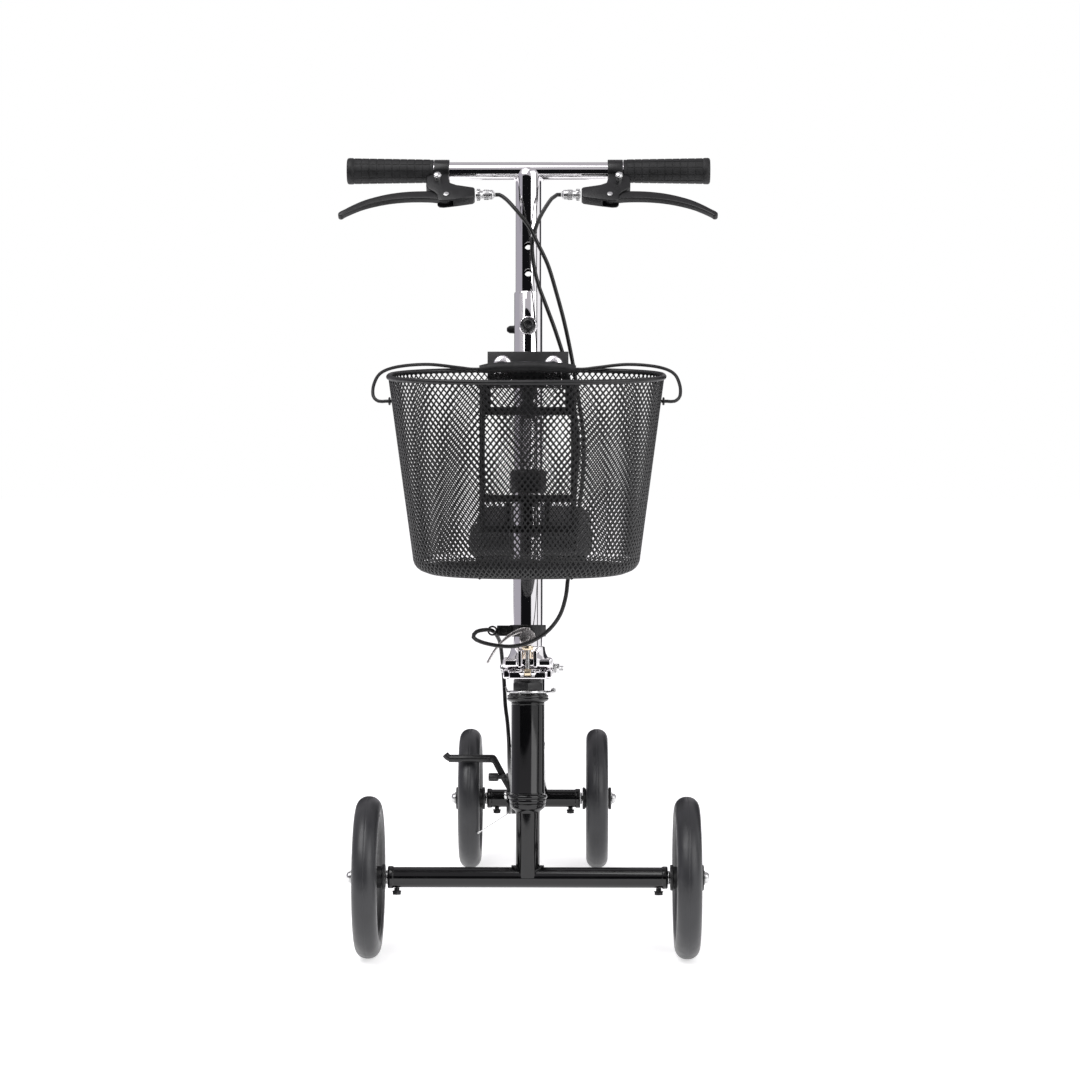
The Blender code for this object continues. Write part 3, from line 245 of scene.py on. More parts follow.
class Finish:
    """A procedural material and the nodes that give it its surface."""

    def __init__(self, name, **constants):
        self.material = bpy.data.materials.new(name)
        self.material.use_nodes = True
        self.tree = self.material.node_tree
        self.shader = self.tree.nodes["Principled BSDF"]
        for key, value in constants.items():
            self.drive(key.replace("_", " ").title().replace("Ior", "IOR"), value)

    def node(self, kind, settings=None, inputs=None, output=0):
        made = self.tree.nodes.new(kind)
        for key, value in (settings or {}).items():
            setattr(made, key, value)
        for key, value in (inputs or {}).items():
            self.feed(made.inputs[key], value)
        return Signal(self, made.outputs[output])

    def feed(self, socket, value):
        if isinstance(value, Signal):
            self.tree.links.new(value.socket, socket)
        else:
            socket.default_value = value

    def drive(self, name, value):
        socket = self.shader.inputs[name]
        if socket.type == "RGBA" and not isinstance(value, Signal) and len(value) == 3:
            value = (*value, 1.0)
        self.feed(socket, value)

    def place(self, scale=(1, 1, 1), turn=(0, 0, 0)):
        spot = self.node("ShaderNodeTexCoord", output="Object")
        return self.node("ShaderNodeMapping", None, {"Vector": spot, "Scale": scale, "Rotation": turn})

    def noise(self, scale, detail=3.0, place=None):
        inputs = {"Vector": place or self.place(), "Scale": scale, "Detail": detail}
        return self.node("ShaderNodeTexNoise", None, inputs)

    def cells(self, scale, feature="F1", place=None):
        inputs = {"Vector": place or self.place(), "Scale": scale}
        return self.node("ShaderNodeTexVoronoi", {"feature": feature}, inputs)

    def span(self, value, low, high, to_low=0.0, to_high=1.0):
        inputs = {0: value, 1: low, 2: high, 3: to_low, 4: to_high}
        return self.node("ShaderNodeMapRange", {"clamp": True}, inputs)

    def blend(self, mask, first, second):
        ends = [(*end, 1.0) if not isinstance(end, Signal) else end for end in (first, second)]
        return self.node("ShaderNodeMix", {"data_type": "RGBA"}, {0: mask, 6: ends[0], 7: ends[1]}, 2)

    def relief(self, height, strength, distance):
        inputs = {"Strength": strength, "Distance": distance, "Height": height}
        self.drive("Normal", self.node("ShaderNodeBump", None, inputs))


def lighter(colour, share):
    return tuple(min(1.0, part * share) for part in colour)


def coating(name, base, lightest, cloud, rough, grain, specular=0.5):
    """A plain coat: a mottled colour, a mottled gloss and a fine grain."""
    made = Finish(name, specular_ior_level=specular)
    mottle = made.span(made.noise(*cloud[0]), *cloud[1])
    made.drive("Base Color", made.blend(mottle, base, lighter(base, lightest)))
    made.drive("Roughness", made.span(made.noise(*rough[0]), 0.3, 0.7, *rough[1]))
    made.relief(made.noise(*grain[0]), *grain[1])
    return made.material


def gloss_paint():
    return coating(
        "scooter_gloss_paint", tuple(colours().paint), 1.6, ((9.0, 4.0), (0.35, 0.7)),
        ((60.0, 5.0), (0.07, 0.15)), ((420.0, 2.0), (0.03, 0.0003)),
    )


def black_trim():
    return coating(
        "scooter_black_trim", tuple(colours().trim), 1.7, ((35.0,), (0.3, 0.7)),
        ((140.0, 4.0), (0.30, 0.42)), ((1500.0, 2.0), (0.10, 0.0003)),
    )


def powder_coat():
    return coating(
        "scooter_powder_coat", tuple(colours().trim), 1.9, ((50.0,), (0.3, 0.7)),
        ((300.0, 4.0), (0.34, 0.5)), ((2200.0, 2.0), (0.16, 0.0003)),
    )


def metal(name, colour, rough_low, rough_high, grain, strength, shade=0.8, stretch=(1, 1, 1)):
    made = Finish(name, metallic=1.0)
    cloud = made.span(made.noise(22.0, 5.0), 0.3, 0.7)
    made.drive("Base Color", made.blend(cloud, lighter(colour, shade), colour))
    made.drive("Roughness", made.span(made.noise(grain, 4.0, made.place(stretch)), 0.3, 0.7, rough_low, rough_high))
    made.relief(made.noise(grain, 2.0, made.place(stretch)), strength, 0.0002)
    return made.material


def chrome():
    return metal("scooter_chrome", (0.90, 0.88, 0.90), 0.030, 0.065, 90.0, 0.003, 0.96)


def zinc_steel():
    return metal("scooter_zinc_steel", (0.74, 0.74, 0.74), 0.20, 0.34, 600.0, 0.10, 0.86)


def cast_aluminium():
    return metal("scooter_cast_aluminium", (0.78, 0.75, 0.74), 0.24, 0.38, 900.0, 0.22, 0.8)


def brass():
    return metal("scooter_brass", (0.80, 0.68, 0.50), 0.18, 0.3, 500.0, 0.08, 0.85)


def tyre_rubber():
    base = tuple(colours().tyre)
    made = Finish("scooter_tyre", specular_ior_level=0.5)
    cloud = made.span(made.noise(26.0, 5.0), 0.3, 0.75)
    dust = made.span(made.cells(900.0), 0.0, 0.35, 1.0, 0.0) * 0.25
    body = made.blend(cloud, base, lighter(base, 1.35))
    made.drive("Base Color", made.blend(dust, body, lighter(base, 2.4)))
    made.drive("Roughness", made.span(made.noise(90.0, 4.0), 0.3, 0.7, 0.30, 0.42))
    made.relief(made.noise(1300.0, 3.0), 0.14, 0.0003)
    return made.material


def rim_plastic():
    base = tuple(colours().trim)
    made = Finish("scooter_rim_plastic", specular_ior_level=0.5)
    made.drive("Base Color", made.blend(made.span(made.noise(40.0), 0.3, 0.7), base, lighter(base, 2.0)))
    made.drive("Roughness", made.span(made.noise(200.0, 4.0), 0.3, 0.7, 0.34, 0.48))
    made.relief(made.cells(1400.0), 0.12, 0.0003)
    return made.material


def grip_rubber():
    made = Finish("scooter_grip_rubber", specular_ior_level=0.4)
    cloud = made.span(made.noise(70.0, 5.0), 0.3, 0.7)
    made.drive("Base Color", made.blend(cloud, (0.005, 0.005, 0.0055), (0.012, 0.012, 0.013)))
    made.drive("Roughness", made.span(made.noise(240.0, 4.0), 0.3, 0.7, 0.48, 0.66))
    made.relief(made.noise(1700.0, 3.0), 0.22, 0.0003)
    return made.material


def pad_vinyl():
    base = tuple(colours().vinyl)
    made = Finish("scooter_pad_vinyl", specular_ior_level=0.45)
    grain = made.cells(620.0, "DISTANCE_TO_EDGE")
    crease = made.span(grain, 0.0, 0.12)
    # The creases of the grain are sunk by the bump, and the colour is also painted darker there: painted shade in the
    # recesses.
    made.drive("Base Color", made.blend(crease, lighter(base, 0.5), lighter(base, 1.3)))
    made.drive("Roughness", 0.62 - made.span(made.noise(30.0, 4.0), 0.3, 0.7) * 0.12 - crease * 0.1)
    made.relief(crease * 0.7 + made.noise(1800.0) * 0.3, 0.35, 0.0005)
    return made.material


def cable_sheath():
    made = Finish("scooter_cable_sheath", specular_ior_level=0.5)
    cloud = made.span(made.noise(45.0, 4.0), 0.3, 0.7)
    made.drive("Base Color", made.blend(cloud, (0.003, 0.003, 0.003), (0.008, 0.008, 0.008)))
    made.drive("Roughness", made.span(made.noise(300.0, 3.0), 0.3, 0.7, 0.26, 0.4))
    made.relief(made.noise(1500.0), 0.08, 0.0002)
    return made.material


def floor_finish():
    made = Finish("studio_floor", specular_ior_level=0.0, emission_color=(1.0, 1.0, 1.0, 1.0), emission_strength=0.62)
    made.drive("Base Color", made.blend(made.noise(3.0), (0.90, 0.90, 0.90), (0.92, 0.92, 0.92)))
    made.drive("Roughness", 0.95)
    return made.material


FINISHES = {
    "gloss_black": gloss_paint,
    "satin_black": black_trim,
    "basket_black": powder_coat,
    "chrome": chrome,
    "zinc_steel": zinc_steel,
    "cast_aluminium": cast_aluminium,
    "brass": brass,
    "tyre_rubber": tyre_rubber,
    "rim_plastic": rim_plastic,
    "grip_rubber": grip_rubber,
    "pad_vinyl": pad_vinyl,
    "cable_sheath": cable_sheath,
}
MADE_FINISHES = {}


def finish_of(slot):
    if slot not in MADE_FINISHES:
        MADE_FINISHES[slot] = FINISHES[slot]()
    return MADE_FINISHES[slot]


# ---- shape writing, in millimetres ----
def mirrored(half, shared=False):
    """An outline followed by its own mirror image, whose second value changes sign."""
    return half + [(first, -second) for first, second in half[-2 if shared else -1::-1]]


def corner_edges(work, angle=SHARP):
    return [
        edge for edge in work.edges
        if len(edge.link_faces) == 2 and edge.calc_face_angle(0.0) > angle
    ]


def round_edges(work, width, segments=2, edges=None):
    if not width:
        return
    bmesh.ops.bevel(
        work, geom=edges if edges is not None else corner_edges(work), offset=width, offset_type="OFFSET",
        affect="EDGES", segments=segments, profile=0.5, material=-1, clamp_overlap=True,
    )


def smooth_route(points, spacing, cyclic=False):
    """A Catmull-Rom curve through a route's points, read at nearly even steps."""
    route = [Vector(point) for point in points]
    if cyclic:
        ends = [route[-1]] + route + route[:2]
    else:
        ends = [2 * route[0] - route[1]] + route + [2 * route[-1] - route[-2]]
    found = [route[0]]
    for before, start, end, after in zip(ends, ends[1:], ends[2:], ends[3:]):
        steps = max(1, round((end - start).length / spacing))
        for step in range(1, steps + 1):
            t = step / steps
            found.append(
                0.5 * (
                    2 * start
                    + (end - before) * t
                    + (2 * before - 5 * start + 4 * end - after) * t * t
                    + (3 * start - before - 3 * end + after) * t ** 3
                )
            )
    return found[:-1] if cyclic else found


class Shape:
    """A mesh in millimetres that takes one simple form after another."""

    def __init__(self):
        self.work = bmesh.new()

    def take(self, part, place=UPRIGHT):
        bmesh.ops.remove_doubles(part, verts=part.verts, dist=0.0005)
        bmesh.ops.recalc_face_normals(part, faces=part.faces)
        bmesh.ops.transform(part, matrix=place, verts=part.verts)
        if place.determinant() < 0:
            bmesh.ops.reverse_faces(part, faces=part.faces)
        mesh = bpy.data.meshes.new("part")
        part.to_mesh(mesh)
        part.free()
        self.work.from_mesh(mesh)
        bpy.data.meshes.remove(mesh)
        return self

    def turned(self, profile, place=UPRIGHT, steps=64, ring=False, soft=0.4, segments=2):
        """A profile of (radius, height) spun about Z. A ring's profile joins its own start."""
        part = bmesh.new()
        points = [part.verts.new((radius, 0, height)) for radius, height in profile]
        edges = [part.edges.new(pair) for pair in zip(points, points[1:])]
        if ring:
            edges.append(part.edges.new((points[-1], points[0])))
        bmesh.ops.spin(
            part, geom=points + edges, cent=(0, 0, 0), axis=(0, 0, 1), dvec=(0, 0, 0),
            angle=TURN, steps=steps, use_merge=True, use_duplicate=False,
        )
        bmesh.ops.remove_doubles(part, verts=part.verts, dist=0.0005)
        bmesh.ops.recalc_face_normals(part, faces=part.faces)
        round_edges(part, soft, segments)
        return self.take(part, place)

    def block(self, size, place=UPRIGHT, soft=0.6, segments=2):
        part = bmesh.new()
        bmesh.ops.create_cube(part, size=1.0)
        bmesh.ops.scale(part, vec=size, verts=part.verts)
        round_edges(part, soft, segments)
        return self.take(part, place)

    def rod(self, radius, length, place=UPRIGHT, sides=48, soft=0.3, far=None):
        """A cylinder, prism or cone centred on its place."""
        part = bmesh.new()
        bmesh.ops.create_cone(
            part, cap_ends=True, segments=sides, radius1=radius,
            radius2=radius if far is None else far, depth=length,
        )
        round_edges(part, soft)
        return self.take(part, place)

    def between(self, start, end, radius, sides=64, soft=0.0):
        start = Vector(start)
        along = Vector(end) - start
        turn = along.to_track_quat("Z", "X").to_matrix().to_4x4()
        return self.rod(radius, along.length, Matrix.Translation(start + along / 2) @ turn, sides, soft)

    def sheet(self, outline, thickness, place=UPRIGHT, soft=0.5, segments=2):
        """A flat outline given a thickness about its own plane."""
        part = bmesh.new()
        face = part.faces.new([part.verts.new((x, y, -thickness / 2)) for x, y in outline])
        grown = bmesh.ops.extrude_face_region(part, geom=[face])["geom"]
        moved = [item for item in grown if isinstance(item, bmesh.types.BMVert)]
        bmesh.ops.translate(part, vec=(0, 0, thickness), verts=moved)
        bmesh.ops.recalc_face_normals(part, faces=part.faces)
        round_edges(part, soft, segments)
        return self.take(part, place)

    def wire(self, route, radius, cyclic=False, sides=12, swell=None, place=UPRIGHT):
        """A round wire along a route. swell gives each point a share of the radius."""
        curve = bpy.data.curves.new("route", "CURVE")
        curve.dimensions = "3D"
        curve.bevel_depth = radius
        curve.bevel_resolution = max(0, sides // 2 - 2)
        curve.use_fill_caps = True
        spline = curve.splines.new("POLY")
        spline.points.add(len(route) - 1)
        for index, (slot, point) in enumerate(zip(spline.points, route)):
            slot.co = (*point, 1.0)
            slot.radius = swell[index] if swell else 1.0
        spline.use_cyclic_u = cyclic
        drawn = bpy.data.objects.new("route", curve)
        bpy.context.scene.collection.objects.link(drawn)
        bpy.context.view_layer.update()
        mesh = bpy.data.meshes.new_from_object(drawn.evaluated_get(bpy.context.evaluated_depsgraph_get()))
        part = bmesh.new()
        part.from_mesh(mesh)
        bpy.data.objects.remove(drawn, do_unlink=True)
        bpy.data.curves.remove(curve)
        bpy.data.meshes.remove(mesh)
        return self.take(part, place)

    def weld(self, route, radius, cyclic=True, place=UPRIGHT):
        """A rippled weld bead along a route."""
        swell = [1.0 + 0.16 * math.sin(index * TURN / 3.0) for index in range(len(route))]
        return self.wire(route, radius, cyclic, 8, swell, place)

    def carve(self, *tools):
        """Cuts other shapes out of this one."""
        body = self.as_object("carved")
        for tool in tools:
            cutter = tool.as_object("tool")
            step = body.modifiers.new("Cut", "BOOLEAN")
            step.operation = "DIFFERENCE"
            step.solver = "EXACT"
            step.object = cutter
            bpy.context.view_layer.update()
            mesh = bpy.data.meshes.new_from_object(
                body.evaluated_get(bpy.context.evaluated_depsgraph_get())
            )
            body.modifiers.clear()
            body.data = mesh
            bpy.data.objects.remove(cutter, do_unlink=True)
        self.work = bmesh.new()
        self.work.from_mesh(body.data)
        bpy.data.objects.remove(body, do_unlink=True)
        bmesh.ops.dissolve_degenerate(self.work, dist=0.001, edges=self.work.edges)
        return self

    def as_object(self, name):
        mesh = bpy.data.meshes.new(name)
        self.work.to_mesh(mesh)
        self.work.free()
        made = bpy.data.objects.new(name, mesh)
        bpy.context.scene.collection.objects.link(made)
        return made

    def finish(self, name, place, slot, body, *nodes, smooth=True):
        """Puts the shape in its frame as a piece that rides on a body."""
        bmesh.ops.transform(
            self.work, matrix=place @ Matrix.Diagonal((MM, MM, MM, 1.0)), verts=self.work.verts
        )
        made = self.as_object(name)
        if smooth:
            made.data.shade_smooth()
            made.data.set_sharp_from_angle(angle=SHARP)
        made.data.materials.append(finish_of(slot))
        if body:
            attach(made, body)
        if nodes:
            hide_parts(*nodes)
        return made


# ---- wheels ----
TYRE_PROFILE = [
    (77.4, 12.6), (80.0, 14.3), (83.5, 15.3), (87.0, 15.4), (90.2, 14.7), (93.0, 13.4), (95.3, 11.7), (97.2, 9.6),
    (98.6, 7.2), (99.5, 4.6), (99.95, 2.0), (100.0, 0.5), (99.8, 0.0),
]
RIM_PROFILE = [(77.2, 12.4), (75.6, 12.9), (73.8, 12.4), (71.6, 10.4), (66.5, 7.6), (63.2, 6.6), (62.0, 5.2)]
HUB_PROFILE = [
    (4.4, 20.6), (10.6, 20.6), (10.6, 19.8), (12.4, 19.8), (12.4, 20.7), (15.5, 20.7), (15.9, 19.6), (15.9, 17.6),
    (13.8, 16.4), (13.4, 9.0), (15.0, 6.2),
]
SPOKE_PROFILE = [(13.0, -8.6), (30.0, -6.4), (50.0, -6.2), (63.5, -9.5)]
AXLE_HALF = 21.0


def along_side(sign):
    """The turn that points a profile's axis out to one side."""
    return ALONG_X if sign > 0 else ALONG_MINUS_X


def make_wheel(name, outward):
    """A solid tyre on a spoked plastic rim, with its sealed bearings."""
    place = at(*JOINTS[name + "_spin"]["pos_m"], along_side(outward))
    body = "wheel_" + name
    tyre = Shape().turned(mirrored(TYRE_PROFILE, shared=True), steps=144, ring=True, soft=0.0)
    tyre.finish("visual_tyre_" + name, place, "tyre_rubber", body, "tyre_" + name)
    rim = Shape().turned(mirrored(RIM_PROFILE), steps=120, ring=True, soft=0.0)
    rim.turned(mirrored(HUB_PROFILE), steps=64, ring=True, soft=0.25)
    for angle in even_turns(sizes().spokes):
        turn = turned_to(angle, "Z")
        rim.sheet(mirrored(SPOKE_PROFILE), 10.6, turn, soft=1.6, segments=3)
        rim.block((44.0, 4.6, 14.0), turn @ at(38.0, 0, 0), soft=1.4)
    rim.finish("visual_rim_" + name, place, "rim_plastic", body, "rim_" + name)
    seals = Shape()
    for face in (1, -1):
        seals.turned(
            [(4.6, 19.3 * face), (6.4, 19.9 * face), (10.2, 19.9 * face), (10.4, 19.2 * face), (4.6, 19.0 * face)],
            steps=40, ring=True, soft=0.0,
        )
    seals.finish("bearing_seals_" + name, place, "zinc_steel", body)


def axle_bolt(name, place, centre, body, node):
    """A dome-headed axle bolt on a washer, with its spacer inside the wheel."""
    outer = centre + AXLE_HALF
    inner = centre - AXLE_HALF
    bolt = Shape()
    bolt.turned(
        [
            (0.0, outer + 7.0), (2.4, outer + 6.85), (4.6, outer + 6.2), (6.2, outer + 4.9),
            (7.0, outer + 3.2), (7.1, outer + 2.1), (6.4, outer + 1.5), (4.0, outer + 1.4), (4.0, inner - 2.6),
            (0.0, inner - 2.6),
        ],
        steps=48, soft=0.15,
    )
    bolt.turned(
        [(4.0, outer + 0.3), (8.6, outer + 0.3), (8.6, outer + 1.5), (4.0, outer + 1.5)],
        steps=48, ring=True, soft=0.25,
    )
    bolt.turned(
        [(4.0, inner - 0.3), (7.6, inner - 0.3), (8.5, inner - 1.2), (8.5, inner - 2.7), (4.0, inner - 2.7)],
        steps=48, ring=True, soft=0.25,
    )
    bolt.finish(name, place, "zinc_steel", body, node)


def clamp_bolt(name, place, body, node):
    """A hexagon screw with its flange, head down, under a crossbar's end."""
    screw = Shape()
    screw.rod(3.3, 4.2, at(0, 0, -15.1), sides=32, soft=0.2)
    screw.rod(5.8, 4.6, at(0, 0, -19.2), sides=6, soft=0.5)
    screw.rod(6.0, 0.9, at(0, 0, -17.1), sides=40, soft=0.2)
    screw.finish(name, place, "satin_black", body, node)


def make_wheels():
    rear = at(0, REAR_Y * MM, AXLE_Z * MM)
    for side, sign in SIDES:
        make_wheel("front_" + side, sign)
        make_wheel("rear_" + side, sign)
        along = along_side(sign)
        front = STEER @ along
        axle_bolt("visual_front_axle_bolt_" + side, front, 197.0, "fork", "front_axle_bolt_" + side)
        axle_bolt("visual_rear_axle_bolt_" + side, rear @ along, 91.0, "frame", "rear_axle_bolt_" + side)
        spot = STEER @ at(sign * 0.162, 0, 0)
        clamp_bolt("visual_front_clamp_bolt_" + side, spot, "fork", "front_clamp_bolt_" + side)
        spot = rear @ at(sign * 0.053, 0, 0)
        clamp_bolt("visual_rear_clamp_bolt_" + side, spot, "frame", "rear_clamp_bolt_" + side)


# ---- frame and fork ----
def crossbar_profile(half):
    return mirrored(
        [
            (0.0, half), (8.7, half), (12.9, half), (13.9, half - 1.0), (13.9, half - 5.8), (13.2, half - 6.9),
            (12.7, half - 7.2),
        ]
    )


def saddle_route(tube_r, bar_r, grow, steps=54):
    """Where a tube of one radius lands on a crossbar along X, a little proud of both."""
    found = []
    for angle in even_turns(steps):
        x = (tube_r + grow) * math.cos(angle)
        y = min(bar_r * 0.94, tube_r) * math.sin(angle)
        found.append((x, y, math.sqrt(max(0.0, (bar_r + grow * 0.3) ** 2 - y * y))))
    return found


def make_fork():
    bar = Shape().turned(crossbar_profile(173.0), ALONG_X, steps=72, soft=0.25)
    bar.turned(
        [
            (0.0, 253.5), (12.7, 253.5), (12.7, 91.5), (21.4, 91.5), (22.0, 90.7), (21.2, 86.9), (19.0, 84.6),
            (15.9, 82.4), (15.2, 80.9), (15.0, 79.5), (15.0, 0.0), (0.0, 0.0),
        ],
        steps=72, soft=0.3,
    )
    for scale, radius in ((1.9, 1.9), (4.2, 1.3)):
        bar.weld(saddle_route(15.0, 12.7, scale), radius)
    bar.finish("visual_fork", STEER, "gloss_black", "fork", "fork")


def make_frame():
    head_y = FRONT_Y + (HEAD_HEIGHT - AXLE_Z) * math.tan(RAKE)
    tubes = Shape().between((0, head_y, HEAD_HEIGHT), (0, REAR_Y, TAIL_HEIGHT), 20.0, 80)
    tubes.carve(Shape().rod(15.0, 220.0, at(0, SEAT_Y, 230.0), 72, 0.0))
    tubes.turned(crossbar_profile(67.0), at(0, REAR_Y, AXLE_Z, ALONG_X), steps=72, soft=0.25)
    tubes.rod(6.0, 11.2, at(-20.6, BRAKE_Y, BRAKE_PIVOT, ALONG_X), 32)
    stop = [(-10.0, -17.0), (10.0, -17.0), (10.0, 17.0), (2.0, 17.0), (-10.0, 1.0)]
    tubes.sheet(stop, 6.0, at(-26.5, FRONT_Y + 469.0, 117.0, ALONG_MINUS_Y), soft=0.8)
    tubes.turned([(15.0, 300.0), (17.0, 300.0), (17.0, 132.0), (15.0, 132.0)], at(0, SEAT_Y, 0), 72, True, 0.5)
    tubes.turned([(4.4, 22.0), (10.0, 22.0), (10.0, 14.2), (4.4, 14.2)], at(0, SEAT_Y, 276.0, ALONG_Y), 40, True, 0.5)
    slope = math.atan2(TAIL_HEIGHT - HEAD_HEIGHT, REAR_Y - head_y)
    seat_z = HEAD_HEIGHT + (SEAT_Y - head_y) * math.tan(slope)
    ring = []
    for angle in even_turns(60):
        y = 17.6 * math.sin(angle)
        x = 17.6 * math.cos(angle)
        top = math.sqrt(max(0.0, 20.4 ** 2 - x * x)) / math.cos(slope)
        ring.append((x, SEAT_Y + y, seat_z + y * math.tan(slope) + top))
    tubes.weld(ring, 1.8)
    tubes.finish("visual_main_tubes", ROW, "gloss_black", "frame", "frame")

    head = Shape()
    head.turned(
        [
            (14.5, 217.0), (20.4, 217.0), (20.65, 216.0), (20.65, 214.5), (20.3, 214.1), (20.3, 213.7),
            (20.65, 213.2), (20.65, 106.5), (21.4, 105.2), (21.4, 102.9), (14.5, 102.9),
        ],
        steps=96, ring=True, soft=0.15,
    )
    head_ring = []
    to_steer = STEER.inverted()
    for angle in even_turns(66):
        x = 19.4 * math.cos(angle)
        along = Vector((0, math.cos(slope), math.sin(slope)))
        across = Vector((0, -math.sin(slope), math.cos(slope)))
        start = Vector((x, head_y, HEAD_HEIGHT)) + across * (20.9 * math.sin(angle))
        reach = math.sqrt(max(0.0, 21.0 ** 2 - x * x))
        point = start + along * (reach * 1.02)
        head_ring.append(to_steer @ (point * MM) / MM)
    head.weld(head_ring, 1.9)
    head.finish("visual_head_tube", STEER, "gloss_black", "frame")


def make_headset():
    lower = [
        (13.4, 102.6), (22.2, 102.6), (23.4, 101.8), (24.0, 100.4), (24.0, 98.9), (23.3, 97.7), (22.0, 97.2),
        (22.4, 96.6), (22.7, 95.4), (22.4, 93.0), (21.9, 91.9), (13.4, 91.9),
    ]
    Shape().turned(lower, steps=80, ring=True, soft=0.2).finish(
        "visual_lower_headset_cup", STEER, "gloss_black", "frame", "lower_headset_cup"
    )
    upper = [
        (13.4, 217.3), (22.4, 217.3), (24.2, 218.4), (25.6, 219.6), (26.0, 220.9), (25.6, 222.1), (24.9, 222.5),
        (25.3, 223.0), (25.7, 224.0), (25.3, 225.3), (23.6, 226.2), (23.0, 228.0), (13.4, 228.0),
    ]
    Shape().turned(upper, steps=80, ring=True, soft=0.15).finish(
        "visual_upper_headset_cup", STEER, "gloss_black", "frame", "upper_headset_cup"
    )
    clip = Shape().turned(
        [(13.4, 228.3), (23.0, 228.3), (23.2, 229.3), (22.6, 231.0), (13.4, 231.0)], steps=72, ring=True, soft=0.3
    )
    for offset in (-3.4, 3.4):
        clip.sheet(
            [
                (21.5, 228.5), (33.0, 228.5), (35.3, 230.4), (35.3, 233.6), (31.5, 234.2), (28.0, 231.0),
                (21.5, 231.0),
            ],
            1.5, at(0, offset, 0, ALONG_MINUS_Y), soft=0.3,
        )
    ear = [(21.5, 228.6), (26.6, 228.6), (28.6, 235.8), (26.9, 236.4), (24.6, 231.0), (21.5, 231.0)]
    clip.sheet(ear, 9.0, ALONG_MINUS_Y @ turned_to(math.pi, "Y"), soft=0.4)
    clip.rod(1.9, 17.0, at(31.5, 0, 231.3, ALONG_Y), 24, 0.2)
    clip.rod(3.5, 2.6, at(31.5, -5.6, 231.3, ALONG_Y), 6, 0.35)
    clip.rod(3.5, 2.4, at(31.5, 5.5, 231.3, ALONG_Y), 6, 0.35)
    clip.finish("visual_steering_clip", STEER, "zinc_steel", "fork", "steering_clip")

    nut = Shape().rod(20.8, 9.4, at(0, 0, 236.1), 6, 0.7)
    nut_top = [(13.4, 240.2), (17.9, 240.2), (17.9, 243.8), (17.0, 245.2), (13.4, 245.2)]
    nut.turned(nut_top, steps=64, ring=True, soft=0.3)
    nut.carve(Shape().rod(13.4, 30.0, at(0, 0, 238.0), 64, 0.0))
    nut.finish("visual_headset_locknut", STEER, "satin_black", "fork", "headset_locknut")


# ---- folding hinge and latch ----
PIN_SPOT = (26.0, 258.5)
LATCH_SPOT = (-30.0, 254.0)


def make_hinge():
    base = Shape()
    base.block((46.0, 39.0, 9.4), at(0, -2.5, 250.3), 1.6, 3)
    base.block((30.0, 6.4, 3.6), at(0, -21.6, 256.0), 0.8)
    for _, sign in SIDES:
        base.block((8.4, 34.0, 12.2), at(sign * 26.4, 0.0, 251.8), 2.6, 4)
        base.rod(7.9, 13.6, at(sign * 23.8, *PIN_SPOT, ALONG_X), 48, 0.7)
        base.block((13.6, 16.0, 9.5), at(sign * 23.8, 19.0, 252.4), 1.2)
        base.rod(4.9, 4.2, at(sign * 6.8, *LATCH_SPOT, ALONG_X), 32, 0.5)
        base.block((4.2, 12.5, 7.6), at(sign * 6.8, -24.6, 252.6), 0.6)
        base.rod(3.4, 1.2, at(sign * 9.3, *LATCH_SPOT, ALONG_X), 24, 0.2)
    base.finish("visual_hinge_base", STEER, "chrome", "fork", "hinge_base")

    head = Shape()
    head.block((58.0, 37.0, 9.8), at(0, -3.6, 265.4), 2.6, 4)
    head.turned(
        [
            (18.6, 286.0), (20.0, 286.0), (21.2, 285.0), (21.5, 281.6), (22.4, 277.4), (24.6, 273.2), (26.4, 270.4),
            (26.4, 262.0), (18.6, 262.0),
        ],
        steps=72, ring=True, soft=0.25,
    )
    for _, sign in SIDES:
        head.block((9.0, 31.0, 13.6), at(sign * 26.2, -5.0, 265.6), 3.6, 5)
        head.block((4.9, 16.0, 21.0), at(sign * 9.5, -25.0, 270.6), 1.2, 3)
        head.between((sign * 8.9, -20.0, 277.5), (sign * 13.5, -16.0, 284.0), 3.0, 24)
    head.block((31.4, 16.0, 11.0), at(0, 18.6, 266.0), 1.6, 3)
    head.rod(7.9, 31.4, at(0, *PIN_SPOT, ALONG_X), 48, 0.7)
    head.block((24.0, 6.0, 4.0), at(0, -18.0, 262.2), 0.8)
    head.finish("visual_hinge_head", STEER, "chrome", "column", "hinge_head")

    pin = Shape()
    pin.rod(3.7, 62.0, at(0, *PIN_SPOT, ALONG_X), 32, 0.2)
    pin.rod(2.9, 14.0, at(37.0, *PIN_SPOT, ALONG_X), 32, 0.4)
    for groove in range(6):
        pin.turned(
            [(2.6, 0.5), (2.9, 0.5), (3.15, 0.0), (2.9, -0.5), (2.6, -0.5)],
            at(39.4 + groove * 0.8, *PIN_SPOT, ALONG_X), 32, True, 0.0,
        )
    pin.rod(6.9, 1.2, at(31.7, *PIN_SPOT, ALONG_X), 40, 0.25)
    pin.rod(6.4, 6.6, at(35.7, *PIN_SPOT, ALONG_X), 6, 0.6)
    pin.turned(
        [(0.0, 4.9), (3.0, 4.7), (5.2, 3.4), (6.2, 1.2), (6.2, 0.3), (0.0, 0.3)],
        at(-30.8, *PIN_SPOT, ALONG_MINUS_X), 40, False, 0.3,
    )
    pin.finish("visual_hinge_pin", STEER, "zinc_steel", "fork", "hinge_pin")


THREAD_START = 258.8
THREAD_PITCH = 0.9
THREAD_TURNS = 25


